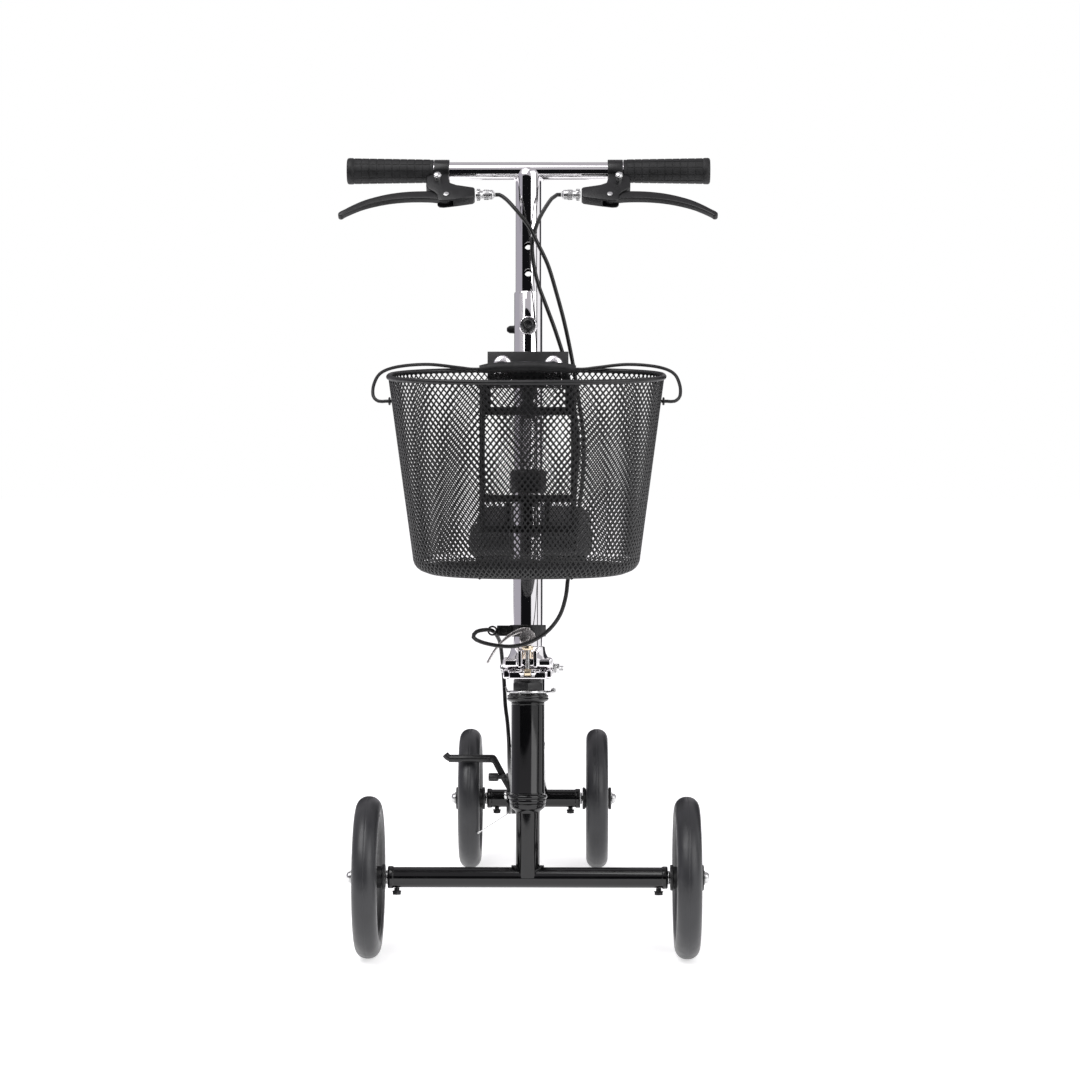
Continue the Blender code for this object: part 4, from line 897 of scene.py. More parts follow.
def make_latch():
    bolt = Shape()
    thread = []
    for turn in range(THREAD_TURNS):
        height = THREAD_START + turn * THREAD_PITCH
        thread += [(2.55, height), (3.0, height + THREAD_PITCH / 2)]
    bolt.turned([(0.0, 257.0), (2.7, 257.0)] + thread + [(2.9, 283.0), (0.0, 286.0)], at(0, -30.0, 0), 40, False, 0.0)
    bolt.rod(1.85, 21.0, at(0, *LATCH_SPOT, ALONG_X), 24, 0.3)
    bolt.finish("visual_latch_bolt", STEER, "zinc_steel", "latch", "latch_bolt")
    eye = Shape().turned(
        [(1.9, 4.0), (4.3, 4.0), (4.8, 3.4), (4.8, -3.4), (4.3, -4.0), (1.9, -4.0)],
        at(0, *LATCH_SPOT, ALONG_X), 40, True, 0.15,
    )
    eye.finish("latch_eye", STEER, "brass", "latch")
    washer = Shape().turned(
        [(3.3, 281.5), (6.6, 281.5), (7.2, 282.4), (7.4, 284.4), (7.2, 286.5), (3.3, 286.5)],
        at(0, -30.0, 0), 56, True, 0.3,
    )
    washer.finish("visual_latch_washer", STEER, "brass", "latch", "latch_washer")

    cam = Shape().rod(9.9, 14.0, at(0, -30.0, 296.8, ALONG_Y), 56, 1.0)
    cam.rod(3.0, 14.8, at(0, -30.0, 296.8, ALONG_Y), 32, 0.3)
    spine = smooth_route(
        [
            (3.0, 0, 305.6), (-6.0, 0, 306.2), (-14.0, 0, 303.4), (-22.0, 0, 299.4), (-30.0, 0, 293.0),
            (-38.0, 0, 284.4), (-44.0, 0, 275.4), (-48.4, 0, 267.4), (-49.8, 0, 265.2),
        ],
        2.0,
    )
    count = len(spine)
    upper = []
    lower = []
    for index, point in enumerate(spine):
        before = spine[max(0, index - 1)]
        after = spine[min(count - 1, index + 1)]
        along = (after - before).normalized()
        across = Vector((-along.z, 0, along.x))
        if across.z < 0:
            across = -across
        share = index / (count - 1)
        half = 3.4 - 1.9 * min(1.0, share * 1.7) if share < 0.9 else 1.5
        upper.append(((point + across * half).x, (point + across * half).z))
        lower.append(((point - across * half).x, (point - across * half).z))
    cam.sheet(upper + lower[::-1], 11.6, at(0, -30.0, 0, ALONG_MINUS_Y), 1.1, 3)
    cam.finish("visual_cam_lever", STEER, "cast_aluminium", "cam", "cam_lever")


# ---- column ----
def make_column():
    tube = Shape().turned(
        [
            (16.4, 264.9), (18.25, 264.9), (18.25, 488.6), (18.05, 489.4), (17.5, 490.6), (17.5, 724.6),
            (17.0, 726.0), (16.4, 726.0),
        ],
        steps=128, ring=True, soft=0.0,
    )
    tube.carve(Shape().rod(4.4, 60.0, at(0, 0, KNOB_HEIGHT, ALONG_Y), 32, 0.0))
    tube.turned(
        [(4.4, 24.2), (9.6, 24.2), (11.0, 23.2), (11.5, 21.6), (11.5, 14.0), (4.4, 14.0)],
        at(0, 0, KNOB_HEIGHT, ALONG_MINUS_Y), 56, True, 0.2,
    )
    tube.turned(
        [(4.4, 24.2), (6.8, 24.2), (7.5, 23.4), (7.5, 15.5), (4.4, 15.5)],
        at(0, 0, KNOB_HEIGHT, ALONG_Y), 48, True, 0.2,
    )
    tube.finish("visual_column_tube", STEER, "chrome", "column", "column_tube")

    knob = Shape().turned(
        [
            (0.0, 35.0), (2.6, 35.2), (3.4, 36.4), (5.2, 36.9), (7.4, 35.6), (8.9, 33.0), (9.5, 29.6), (9.5, 26.0),
            (8.8, 24.5), (3.9, 24.5), (3.9, 16.7), (0.0, 16.7),
        ],
        at(0, 0, KNOB_HEIGHT, ALONG_MINUS_Y), 56, False, 0.15,
    )
    for angle in even_turns(18):
        spot = at(0, 0, KNOB_HEIGHT, turned_to(angle, "Y"))
        knob.between(spot @ Vector((9.3, -25.4, 0)), spot @ Vector((9.0, -32.4, 0)), 0.75, 8)
    knob.finish("visual_height_knob", STEER, "satin_black", "height_pin", "height_knob")

    screw = Shape().turned(
        [(0.0, 33.5), (5.6, 33.3), (7.2, 32.2), (7.5, 30.4), (7.5, 24.5), (3.9, 24.5), (3.9, 16.7), (0.0, 16.7)],
        at(0, 0, KNOB_HEIGHT, ALONG_Y), 48, False, 0.2,
    )
    screw.sheet(
        mirrored([(2.0, -5.0), (-14.0, -5.2), (-24.0, -4.6), (-27.5, -2.4)]), 5.8,
        at(0, 29.2, KNOB_HEIGHT, ALONG_MINUS_Y), 1.4, 3,
    )
    screw.finish("visual_clamp_screw", STEER, "satin_black", "clamp", "clamp_screw")

    collar = Shape().turned(
        [(18.6, 297.9), (21.9, 297.9), (22.4, 298.6), (22.4, 311.8), (21.9, 312.5), (18.6, 312.5)],
        steps=80, ring=True, soft=0.2,
    )
    collar.block((19.0, 3.0, 13.2), at(-29.0, -4.2, 305.2), 1.0, 3)
    collar.block((17.0, 3.0, 13.2), at(-28.0, -8.0, 305.2), 1.0, 3)
    collar.rod(3.6, 2.2, at(-29.5, -10.2, 305.2, ALONG_Y), 40, 0.4)
    hoop = [(-44.0 + 5.2 * math.cos(turn), -6.0, 305.2 + 5.2 * math.sin(turn)) for turn in even_turns(36)]
    collar.wire(hoop, 1.15, True, 12)
    collar.finish("visual_cable_collar", STEER, "satin_black", "column", "cable_collar")

    band = Shape().turned(
        [(18.6, 475.9), (22.2, 475.9), (22.6, 476.6), (22.6, 503.0), (22.2, 503.7), (18.6, 503.7)],
        steps=80, ring=True, soft=0.2,
    )
    band.block((20.0, 5.4, 24.0), at(0, -22.6, 489.7), 0.9)
    band.block((16.0, 6.0, 24.0), at(0, 24.6, 489.7), 0.9)
    band.finish("visual_bracket_clamp", STEER, "satin_black", "column", "bracket_clamp")


# ---- basket, bracket and bail ----
SIDE_WINDOWS = ((7.0, 46.0, 581.4, 604.5), (6.0, 21.0, 434.6, 463.8), (27.0, 53.0, 434.6, 463.8))


def make_bracket():
    outline = [
        (-50.0, 649.8), (50.0, 649.8), (50.0, 609.6), (60.0, 609.6), (60.0, 425.5),
        (-60.0, 425.5), (-60.0, 609.6), (-50.0, 609.6),
    ]
    middle = at(0, -27.0, 0, ALONG_MINUS_Y)
    plate = Shape().sheet(outline, 2.8, middle, 0.6)
    windows = [(-53.0, 53.0, 472.8, 571.3)]
    for _, sign in SIDES:
        for near, far, low, high in SIDE_WINDOWS:
            windows.append((*sorted((sign * near, sign * far)), low, high))
    tools = []
    for left, right, low, high in windows:
        centre = at((left + right) / 2, -27.0, (low + high) / 2)
        tools.append(Shape().block((right - left, 12.0, high - low), centre, 0.0))
    plate.carve(*tools)
    plate.block((24.0, 8.0, 20.0), at(0, -22.4, 625.0), 0.8)
    for _, sign in SIDES:
        plate.wire([(sign * 56.0, -30.2, 608.0), (sign * 56.0, -30.2, 430.0)], 1.6, sides=12)
        plate.wire([(sign * 3.6, -30.0, 606.0), (sign * 3.6, -30.0, 575.0)], 1.3, sides=12)
    plate.finish("visual_basket_bracket", STEER, "satin_black", "column", "basket_bracket")

    for side, sign in SIDES:
        screw = Shape().turned(
            [(0.0, 4.6), (3.4, 4.5), (6.0, 4.2), (9.2, 3.3), (10.8, 2.0), (11.5, 0.8), (11.5, 0.1), (0.0, 0.1)],
            at(sign * 31.5, -28.8, 633.7, ALONG_MINUS_Y), 72, False, 0.0,
        )
        for index in range(-4, 5):
            reach = math.sqrt(max(1.0, 10.0 ** 2 - (index * 2.1) ** 2))
            spot = at(sign * 31.5 + index * 2.1, -32.6 + 0.11 * index * index, 633.7)
            screw.block((0.9, 1.0, 2 * reach), spot, 0.2)
        screw.finish("visual_bracket_screw_" + side, STEER, "chrome", "column", "bracket_screw_" + side)
        clip = Shape().block((22.0, 2.4, 17.5), at(sign * 31.0, -29.8, 614.4), 0.7)
        clip.block((22.0, 4.4, 2.2), at(sign * 31.0, -31.6, 606.6), 0.6)
        clip.finish("rim_clip_" + side, STEER, "chrome", "column")


def outline_point(width, depth, angle):
    roundness = 2.0 / 2.5
    across = math.copysign(abs(math.cos(angle)) ** roundness, math.cos(angle))
    along = math.copysign(abs(math.sin(angle)) ** roundness, math.sin(angle))
    return Vector((across * width / 2, along * depth / 2 + BASKET_MIDDLE, 0))


class Oval:
    """A rounded oval, read at even steps of its own length."""

    def __init__(self, width, depth, fine=720):
        points = [outline_point(width, depth, TURN * index / fine) for index in range(fine + 1)]
        self.points = points
        self.reached = [0.0]
        for start, end in zip(points, points[1:]):
            self.reached.append(self.reached[-1] + (end - start).length)

    def point(self, share):
        goal = (share % 1.0) * self.reached[-1]
        low, high = 0, len(self.reached) - 1
        while high - low > 1:
            middle = (low + high) // 2
            if self.reached[middle] <= goal:
                low = middle
            else:
                high = middle
        step = self.reached[high] - self.reached[low]
        part = 0.0 if step == 0 else (goal - self.reached[low]) / step
        return self.points[low].lerp(self.points[high], part)


RIM_SIZE = (327.0, 244.0)
WALL_HEIGHT = 232.0
FLOOR_ROUND = 16.0


def wall_level(share):
    """How far in and how far down the wall is, at a share of its length from the rim."""
    straight = WALL_HEIGHT - FLOOR_ROUND
    total = straight + FLOOR_ROUND * math.pi / 2
    down = share * total
    if down <= straight:
        return 30.0 * down / WALL_HEIGHT, -down
    turn = (down - straight) / FLOOR_ROUND
    inward = FLOOR_ROUND * (1 - math.cos(turn))
    return 30.0 * straight / WALL_HEIGHT + inward, -straight - FLOOR_ROUND * math.sin(turn)


def diamonds(columns, rows):
    """A grid of diamonds over the unit square, from a grid's poked faces."""
    work = bmesh.new()
    bmesh.ops.create_grid(work, x_segments=columns, y_segments=rows, size=0.5)
    bmesh.ops.translate(work, vec=(0.5, 0.5, 0), verts=work.verts)
    inner = [edge for edge in work.edges if len(edge.link_faces) == 2]
    bmesh.ops.poke(work, faces=work.faces)
    bmesh.ops.dissolve_edges(work, edges=[edge for edge in inner if edge.is_valid], use_verts=False)
    return work


def open_cells(work, strand):
    """Cuts each cell open and leaves a strand round it."""
    cells = list(work.faces)
    bmesh.ops.inset_individual(work, faces=cells, thickness=strand / 2, depth=0.0, use_even_offset=True)
    bmesh.ops.delete(work, geom=cells, context="FACES")


def mesh_sheet(name, work, thickness):
    shape = Shape()
    shape.take(work)
    made = shape.finish(name, BASKET, "basket_black", "column", smooth=False)
    wall = made.modifiers.new("Thickness", "SOLIDIFY")
    wall.thickness = thickness * MM
    wall.offset = 0.0
    return made


def make_basket():
    strand = sizes().strand / MM
    columns = sizes().mesh_columns
    rows = sizes().mesh_rows
    work = diamonds(columns, rows)
    ovals = {}
    for point in work.verts:
        key = round(point.co.y, 6)
        if key not in ovals:
            inset, down = wall_level(1.0 - point.co.y)
            ovals[key] = (Oval(RIM_SIZE[0] - 2 * inset, RIM_SIZE[1] - 2 * inset), down)
        oval, down = ovals[key]
        spot = oval.point(point.co.x)
        point.co = (spot.x, spot.y, down)
    bmesh.ops.remove_doubles(work, verts=work.verts, dist=0.01)
    open_cells(work, strand)
    wall = mesh_sheet("basket_wall_mesh", work, 1.1)
    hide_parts("basket")

    inset, down = wall_level(1.0)
    width = RIM_SIZE[0] - 2 * inset
    depth = RIM_SIZE[1] - 2 * inset
    pitch_x, pitch_y = 7.6, 8.6
    work = diamonds(round(width / pitch_x), round(depth / pitch_y))
    bmesh.ops.translate(work, vec=(-0.5, -0.5, 0), verts=work.verts)
    bmesh.ops.scale(work, vec=(width, depth, 1), verts=work.verts)

    def inside(spot):
        return (abs(spot.x) * 2 / width) ** 2.5 + (abs(spot.y) * 2 / depth) ** 2.5 < 0.985

    outside = [face for face in work.faces if not inside(face.calc_center_median())]
    bmesh.ops.delete(work, geom=outside, context="FACES")
    bmesh.ops.translate(work, vec=(0, BASKET_MIDDLE, down), verts=work.verts)
    open_cells(work, strand)
    mesh_sheet("basket_floor_mesh", work, 1.1)

    wires = Shape()
    rim = Oval(*RIM_SIZE)
    wires.wire([rim.point(step / 180) for step in range(180)], 3.0, True, 20)
    foot = Oval(width, depth)
    floor_ring = [foot.point(step / 140) + Vector((0, 0, down)) for step in range(140)]
    wires.wire(floor_ring, 1.7, True, 12)
    for _, sign in SIDES:
        reach = depth / 2 - 3.0
        runner = [(sign * 54.0, BASKET_MIDDLE + along, down - 1.0) for along in (reach, -reach)]
        wires.wire(runner, 1.6)
        eye = at(sign * 159.0, BASKET_MIDDLE, -26.0)
        loop = [
            eye @ Vector((sign * 4.2, 3.6 * math.cos(turn), 3.6 * math.sin(turn) - 4.0))
            for turn in even_turns(24)
        ]
        wires.wire(loop, 1.3, True, 10)
    wires.finish("basket_wires", BASKET, "basket_black", "column")


def make_bail():
    grip_y = -19.0
    half_route = [
        (160.5, -125.0, -30.0), (167.5, -125.0, -30.0), (176.5, -124.0, -30.0), (183.0, -119.0, -24.0),
        (183.0, -103.0, -11.0), (176.0, -77.0, 1.0), (156.5, -49.0, 6.8), (121.5, -26.5, 8.2),
        (84.5, grip_y - 1.5, 4.0), (70.0, grip_y, 2.1), (56.0, grip_y, 2.0), (30.0, grip_y, 2.0),
    ]
    other_half = [(-x, y, z) for x, y, z in half_route[::-1]]
    bail = Shape().wire(smooth_route(half_route + other_half, 4.0), 2.0, sides=14)
    bail.finish("visual_basket_handle", BASKET, "basket_black", "bail", "basket_handle")
    half_grip, steps = 59.0, 40

    def bowed(x):
        return 2.0 + 3.0 * (1.0 - (x / half_grip) ** 2)

    across = [half_grip * (2 * step / steps - 1) for step in range(steps + 1)]
    bow = [(x, grip_y, bowed(x)) for x in across]
    swell = [min(1.0, 0.72 + 0.07 * min(step, steps - step)) for step in range(steps + 1)]
    grip = Shape().wire(bow, 6.4, sides=24, swell=swell)
    for index in range(-8, 9):
        x = index * 4.6
        grip.block((1.6, 5.0, 1.6), at(x, grip_y, bowed(x) - 6.2), 0.3)
    grip.finish("visual_handle_grip", BASKET, "grip_rubber", "bail", "handle_grip")


# ---- handlebar, grips and levers ----
def make_handlebar():
    bar = Shape().turned(
        [(0.0, 223.0), (10.6, 223.0), (11.1, 222.5), (11.1, -222.5), (10.6, -223.0), (0.0, -223.0)],
        at(0, 0, BAR_HEIGHT, ALONG_X), 72, False, 0.0,
    )
    stem = Shape().turned(
        [
            (13.9, 553.0), (15.6, 553.0), (15.9, 553.6), (15.9, 868.0), (15.9, 872.0), (15.4, 875.6), (14.2, 878.4),
            (12.4, 880.6), (9.0, 882.4), (0.0, 883.0), (0.0, 855.0), (13.9, 853.0),
        ],
        steps=96, ring=True, soft=0.0,
    )
    heights = [KNOB_HEIGHT + step * HOLE_PITCH for step in range(-2, 4)]
    stem.carve(*[Shape().rod(4.8, 60.0, at(0, 0, height, ALONG_Y), 32, 0.0) for height in heights])
    stem.finish("visual_stem", STEER, "chrome", "bar")
    route = []
    for angle in even_turns(60):
        y = 10.4 * math.sin(angle)
        route.append((17.0 * math.cos(angle), y, BAR_HEIGHT - math.sqrt(11.2 ** 2 - y * y)))
    bar.weld(route, 1.7)
    bar.finish("visual_handlebar", STEER, "chrome", "bar", "handlebar")


def make_grips():
    """Rubber grips with raised blocks in rows, as a bevelled sleeve cut into cells."""
    around = sizes().grip_blocks
    per_block = 4
    body_start, body_end, cell = 4.0, 99.0, 9.5
    rows = round((body_end - body_start) / cell)
    for side, sign in SIDES:
        work = bmesh.new()
        profile = [(11.4, 0.2), (13.6, 0.2), (14.1, 0.8), (14.1, 3.6)]
        for row in range(rows + 1):
            share = row / rows
            profile.append((14.0 + 1.5 * share, body_start + row * cell))
        profile += [(16.1, 100.2), (16.4, 101.4), (16.4, 105.6), (15.7, 107.2), (14.0, 108.0), (0.0, 108.2)]
        points = [work.verts.new((radius, 0, height)) for radius, height in profile]
        edges = [work.edges.new(pair) for pair in zip(points, points[1:])]
        bmesh.ops.spin(
            work, geom=points + edges, cent=(0, 0, 0), axis=(0, 0, 1), dvec=(0, 0, 0), angle=TURN,
            steps=around * per_block, use_merge=True, use_duplicate=False,
        )
        bmesh.ops.remove_doubles(work, verts=work.verts, dist=0.0005)
        bmesh.ops.recalc_face_normals(work, faces=work.faces)
        if sum(face.normal.dot(face.calc_center_median() - Vector((0, 0, 50))) for face in work.faces) < 0:
            bmesh.ops.reverse_faces(work, faces=work.faces)
        blocks = {}
        for face in work.faces:
            middle = face.calc_center_median()
            if not body_start < middle.z < body_end or math.hypot(middle.x, middle.y) < 13.0:
                continue
            turn = (math.atan2(middle.y, middle.x) % TURN) / TURN
            key = (int(turn * around), int((middle.z - body_start) / cell))
            blocks.setdefault(key, []).append(face)
        for faces in blocks.values():
            bmesh.ops.inset_region(
                work, faces=faces, thickness=0.45, depth=0.0, use_boundary=True, use_even_offset=True
            )
            bmesh.ops.inset_region(
                work, faces=faces, thickness=0.18, depth=0.5, use_boundary=True, use_even_offset=True
            )
        shape = Shape().take(work, at(sign * 118.0, 0, BAR_HEIGHT, along_side(sign)))
        shape.finish("visual_grip_" + side, STEER, "grip_rubber", "bar", "grip_" + side)


PERCH_OUTLINE = [
    (98.6, -8.0), (98.8, -20.0), (97.0, -28.0), (89.0, -32.0), (68.0, -36.6), (66.0, -38.4), (66.0, -52.6),
    (68.4, -54.8), (88.0, -59.0), (104.0, -61.8), (109.5, -61.4), (112.0, -58.6), (112.4, -50.0),
    (116.0, -45.0), (123.6, -39.6), (126.4, -34.0), (126.8, -19.0), (124.6, -15.2), (119.6, -13.0), (117.4, -8.0),
]
LEVER_SPINE = [
    (101.0, 50.0, 7.6), (113.0, 48.4, 7.2), (125.0, 47.8, 6.6), (150.0, 48.6, 6.2), (175.0, 53.0, 5.7),
    (200.0, 62.0, 5.1), (216.0, 71.6, 4.6), (225.0, 78.4, 4.3),
]
LEVER_TIP = [(230.6, -77.8), (232.9, -80.4), (233.3, -83.6), (231.4, -86.2), (228.0, -86.3)]
LEVER_FULLNESS = 1.08


def make_lever(side, sign):
    perch = Shape().sheet([(sign * x, y) for x, y in PERCH_OUTLINE], 13.0, UPRIGHT, 1.5, 3)
    slot = [
        (92.0, -37.0), (108.0, -36.4), (118.0, -37.4), (150.0, -20.0), (150.0, -90.0), (92.0, -90.0),
    ]
    perch.carve(Shape().sheet([(sign * x, y) for x, y in slot], 8.8, UPRIGHT, 0.0))
    perch.turned(
        [(11.4, 9.4), (13.8, 9.4), (14.2, 8.9), (14.2, -8.9), (13.8, -9.4), (11.4, -9.4)],
        at(sign * 108.0, 0, 0, ALONG_X), 64, True, 0.15,
    )
    perch.rod(4.6, 13.8, at(sign * 101.0, -50.0, 0), 40, 0.4)
    perch.finish("visual_lever_bracket_" + side, LEVERS, "satin_black", "bar", "lever_bracket_" + side)

    screws = Shape().turned(
        [(0.0, 16.2), (2.2, 15.9), (4.0, 15.0), (4.9, 13.4), (4.9, 12.2), (0.0, 12.2)],
        at(sign * 112.6, -22.0, 0), 40, False, 0.1,
    )
    screws.rod(4.2, 6.2, at(sign * 112.6, -22.0, 9.3), 6, 0.4)
    screws.rod(3.4, 15.0, at(sign * 101.0, -50.0, 0), 32, 0.3)
    screws.finish("lever_screws_" + side, LEVERS, "zinc_steel", "bar")

    spine = smooth_route([(x, -reach, LEVER_FULLNESS * half) for x, reach, half in LEVER_SPINE], 6.0)
    inner = [(sign * point.x, point.y + point.z) for point in spine]
    outer = [(sign * point.x, point.y - point.z) for point in spine]
    tip = [(sign * x, y) for x, y in LEVER_TIP]
    root = [
        (sign * (101.0 - 7.6 * math.sin(turn)), -(50.0 + 7.6 * math.cos(turn)))
        for turn in [math.pi * step / 8 for step in range(1, 8)]
    ]
    blade = Shape().sheet(inner + tip + outer[::-1] + root, 7.9, UPRIGHT, 1.9, 4)
    blade.finish("visual_brake_lever_" + side, LEVERS, "satin_black", "lever_" + side, "brake_lever_" + side)

    along = along_side(-sign)
    adjuster = Shape().turned(
        [(0.0, 0.0), (4.4, 0.0), (4.4, 0.8), (6.8, 1.0), (6.8, 5.4), (4.9, 5.8), (4.6, 8.6), (0.0, 8.6)],
        at(sign * 64.7, -44.0, 0, along), 48, False, 0.15,
    )
    adjuster.turned(
        [(0.0, 8.2), (5.0, 8.6), (5.9, 9.6), (5.9, 20.4), (5.0, 21.6), (3.4, 23.4), (0.0, 23.4)],
        at(sign * 64.7, -44.0, 0, along), 48, False, 0.2,
    )
    spot = Vector((sign * 64.7, -44.0, 0))
    for turn in even_turns(16):
        for radius, low, high in ((6.8, 1.3, 5.1), (5.9, 10.2, 16.0)):
            offset = Vector((0, radius * math.cos(turn), radius * math.sin(turn)))
            adjuster.between(
                spot + offset - Vector((sign * low, 0, 0)), spot + offset - Vector((sign * high, 0, 0)), 0.55, 6
            )
    adjuster.finish(
        "visual_barrel_adjuster_" + side, LEVERS, "zinc_steel", "bar", "barrel_adjuster_" + side
    )


def make_levers():
    for side, sign in SIDES:
        make_lever(side, sign)


# ---- seat ----
def make_seat():
    post_top = 463.4
    post = Shape().turned(
        [
            (0.0, post_top), (34.4, post_top), (35.0, post_top - 0.8), (35.0, post_top - 3.2),
            (34.0, post_top - 4.0), (19.0, post_top - 4.4), (16.2, post_top - 6.2), (14.6, post_top - 9.4),
            (14.3, post_top - 12.0), (14.3, 216.0), (13.6, 215.2), (0.0, 215.0),
        ],
        at(0, SEAT_Y, 0), 96, False, 0.2,
    )
    post.finish("visual_seat_post", ROW, "chrome", "seat", "seat_post")
    low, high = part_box("pad_board")
    middle = (Vector(low) + Vector(high)) / 2 / MM
    board = Shape().block(tuple((Vector(high) - Vector(low)) / MM), at(*middle), 1.6, 3)
    for x in (-1, 1):
        for y in (-1, 1):
            board.rod(4.0, 2.0, at(x * 22.0, SEAT_Y + y * 22.0, low[2] / MM - 1.2), 32, 0.5)
    board.finish("visual_pad_board", ROW, "satin_black", "seat", "pad_board")
    knob = Shape().turned(
        [
            (0.0, 46.2), (4.0, 46.0), (8.0, 44.6), (10.6, 42.0), (11.5, 39.0), (11.5, 31.6), (9.6, 28.0),
            (8.0, 24.2), (7.6, 22.5), (4.0, 22.4), (4.0, 15.8), (0.0, 15.8),
        ],
        at(0, SEAT_Y, 276.0, ALONG_Y), 56, False, 0.3,
    )
    for angle in even_turns(20):
        spot = at(0, SEAT_Y, 276.0, turned_to(angle, "Y"))
        knob.between(spot @ Vector((11.2, 31.8, 0)), spot @ Vector((11.2, 39.2, 0)), 0.8, 8)
    knob.finish("visual_seat_height_knob", ROW, "satin_black", "seat_pin", "seat_height_knob")


PAD_SEAM = 0.0325
SEAM_DEPTH = 0.0014
CHANNEL_X = 0.045
CHANNEL_DEPTH = 0.0016
PAD_FRAMES = 20


def make_pad():
    """The knee pad: a filled cover on a board, swollen by a short simulation, then seamed."""
    low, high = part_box("knee_pad")
    low, high = Vector(low) / MM, Vector(high) / MM
    size = high - low - Vector((10.0, 10.0, 7.0))
    middle = (low + high) / 2
    middle.z = low.z + size.z / 2 + 0.6
    cover = Shape().block(tuple(size), at(*middle), 12.0, 5)
    pad = cover.finish("knee_pad_cover", ROW, "pad_vinyl", None)
    remesh = pad.modifiers.new("Even", "REMESH")
    remesh.mode = "VOXEL"
    remesh.voxel_size = 0.005
    apply_modifiers(pad)
    rest = [point.co.copy() for point in pad.data.vertices]
    swell(pad, rest)
    fine = pad.modifiers.new("Fine", "SUBSURF")
    fine.levels = 1
    fine.render_levels = 1
    apply_modifiers(pad)
    work = bmesh.new()
    work.from_mesh(pad.data)
    bottom = low.z * MM
    seam = bottom + PAD_SEAM
    for point in work.verts:
        point.co.z = max(point.co.z, bottom + 0.0004)
        depth = SEAM_DEPTH * math.exp(-((point.co.z - seam) / 0.0022) ** 2)
        outward = Vector((point.normal.x, point.normal.y, 0))
        point.co -= outward * depth
        crown = max(0.0, point.normal.z)
        channel = math.exp(-((abs(point.co.x) - CHANNEL_X) / 0.0030) ** 2)
        point.co.z -= CHANNEL_DEPTH * channel * crown
    work.to_mesh(pad.data)
    work.free()
    pad.data.shade_smooth()
    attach(pad, "seat")
    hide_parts("knee_pad")


def apply_modifiers(piece):
    bpy.context.view_layer.update()
    graph = bpy.context.evaluated_depsgraph_get()
    mesh = bpy.data.meshes.new_from_object(piece.evaluated_get(graph))
    piece.modifiers.clear()
    piece.data = mesh


def swell(piece, rest):
    """Blows the cover up from inside and holds each point near where it began."""
    scene = bpy.context.scene
    scene.frame_set(1)
    cloth = piece.modifiers.new("Filling", "CLOTH")
    cloth.settings.use_pressure = True
    cloth.settings.uniform_pressure_force = 4.0
    cloth.settings.effector_weights.gravity = 0.0
    cloth.settings.quality = 4
    cloth.point_cache.frame_start = 1
    cloth.point_cache.frame_end = PAD_FRAMES
    for step in range(1, PAD_FRAMES + 1):
        scene.frame_set(step)
    graph = bpy.context.evaluated_depsgraph_get()
    mesh = bpy.data.meshes.new_from_object(piece.evaluated_get(graph))
    piece.modifiers.clear()
    most = sizes().pad_swell
    for point, start in zip(mesh.vertices, rest):
        moved = point.co - start
        if moved.length > most:
            point.co = start + moved * (most / moved.length)
    piece.data = mesh
    scene.frame_set(1)


# ---- rear brake ----
def make_brake():
    turn = at(0, BRAKE_Y, 0, ALONG_MINUS_Y)
    outline = [
        (-119.0, 164.8), (-58.6, 164.5), (-56.6, 163.2), (-44.4, 139.4), (-36.6, 125.6), (-36.0, 122.0),
        (-36.0, 97.0), (-34.4, 95.0), (-28.6, 95.0), (-27.0, 97.0), (-27.0, 127.0), (-33.2, 138.0),
        (-51.4, 172.0), (-54.0, 174.8), (-57.0, 175.5), (-117.0, 175.5), (-119.0, 173.6),
    ]
    arm = Shape().sheet(outline, 4.0, turn, 0.9, 3)
    hub = at(-31.5, BRAKE_Y, BRAKE_PIVOT, ALONG_X)
    arm.turned([(3.4, 4.7), (7.0, 4.7), (7.0, -4.7), (3.4, -4.7)], hub, 40, True, 0.4)
    arm.rod(5.2, 58.0, at(-89.6, BRAKE_Y, 170.0, ALONG_X), 32, 0.8)
    bent_end = [
        (x, BRAKE_Y, z) for x, z in ((-112.0, 170.0), (-117.0, 170.4), (-121.0, 172.6), (-124.0, 176.0))
    ]
    arm.wire(smooth_route(bent_end, 1.5), 4.8, sides=20)
    arm.finish("visual_brake_arm", ROW, "satin_black", "brake", "brake_arm")
    bolt = Shape().turned(
        [(0.0, 41.4), (3.4, 41.2), (5.2, 40.2), (5.5, 38.6), (5.5, 36.9), (3.0, 36.8), (3.0, 26.6), (0.0, 26.6)],
        at(0, BRAKE_Y, BRAKE_PIVOT, ALONG_MINUS_X), 40, False, 0.2,
    )
    bolt.finish("visual_brake_pivot_bolt", ROW, "zinc_steel", "frame", "brake_pivot_bolt")
    spot = at(-31.0, BRAKE_Y - 8.5, 145.0, ALONG_MINUS_X)
    adjuster = Shape().rod(3.0, 31.6, spot @ at(0, 0, 15.9), 32, 0.3)
    for middle, length, radius in ((3.6, 6.0, 5.6), (10.4, 4.4, 4.4), (24.6, 14.0, 5.5)):
        adjuster.rod(radius, length, spot @ at(0, 0, middle), 40, 0.6)
        for angle in even_turns(14):
            x, y = (radius - 0.1) * math.cos(angle), (radius - 0.1) * math.sin(angle)
            adjuster.between(
                spot @ Vector((x, y, middle - length * 0.38)), spot @ Vector((x, y, middle + length * 0.38)), 0.5, 6
            )
    adjuster.finish("visual_brake_adjuster", ROW, "satin_black", "brake", "brake_adjuster")


# ---- cables ----
def steered(x, y, z):
    return STEER @ (Vector((x, y, z)) * MM) / MM


def behind(x, y, z):
    return Vector((x, FRONT_Y + y, z))


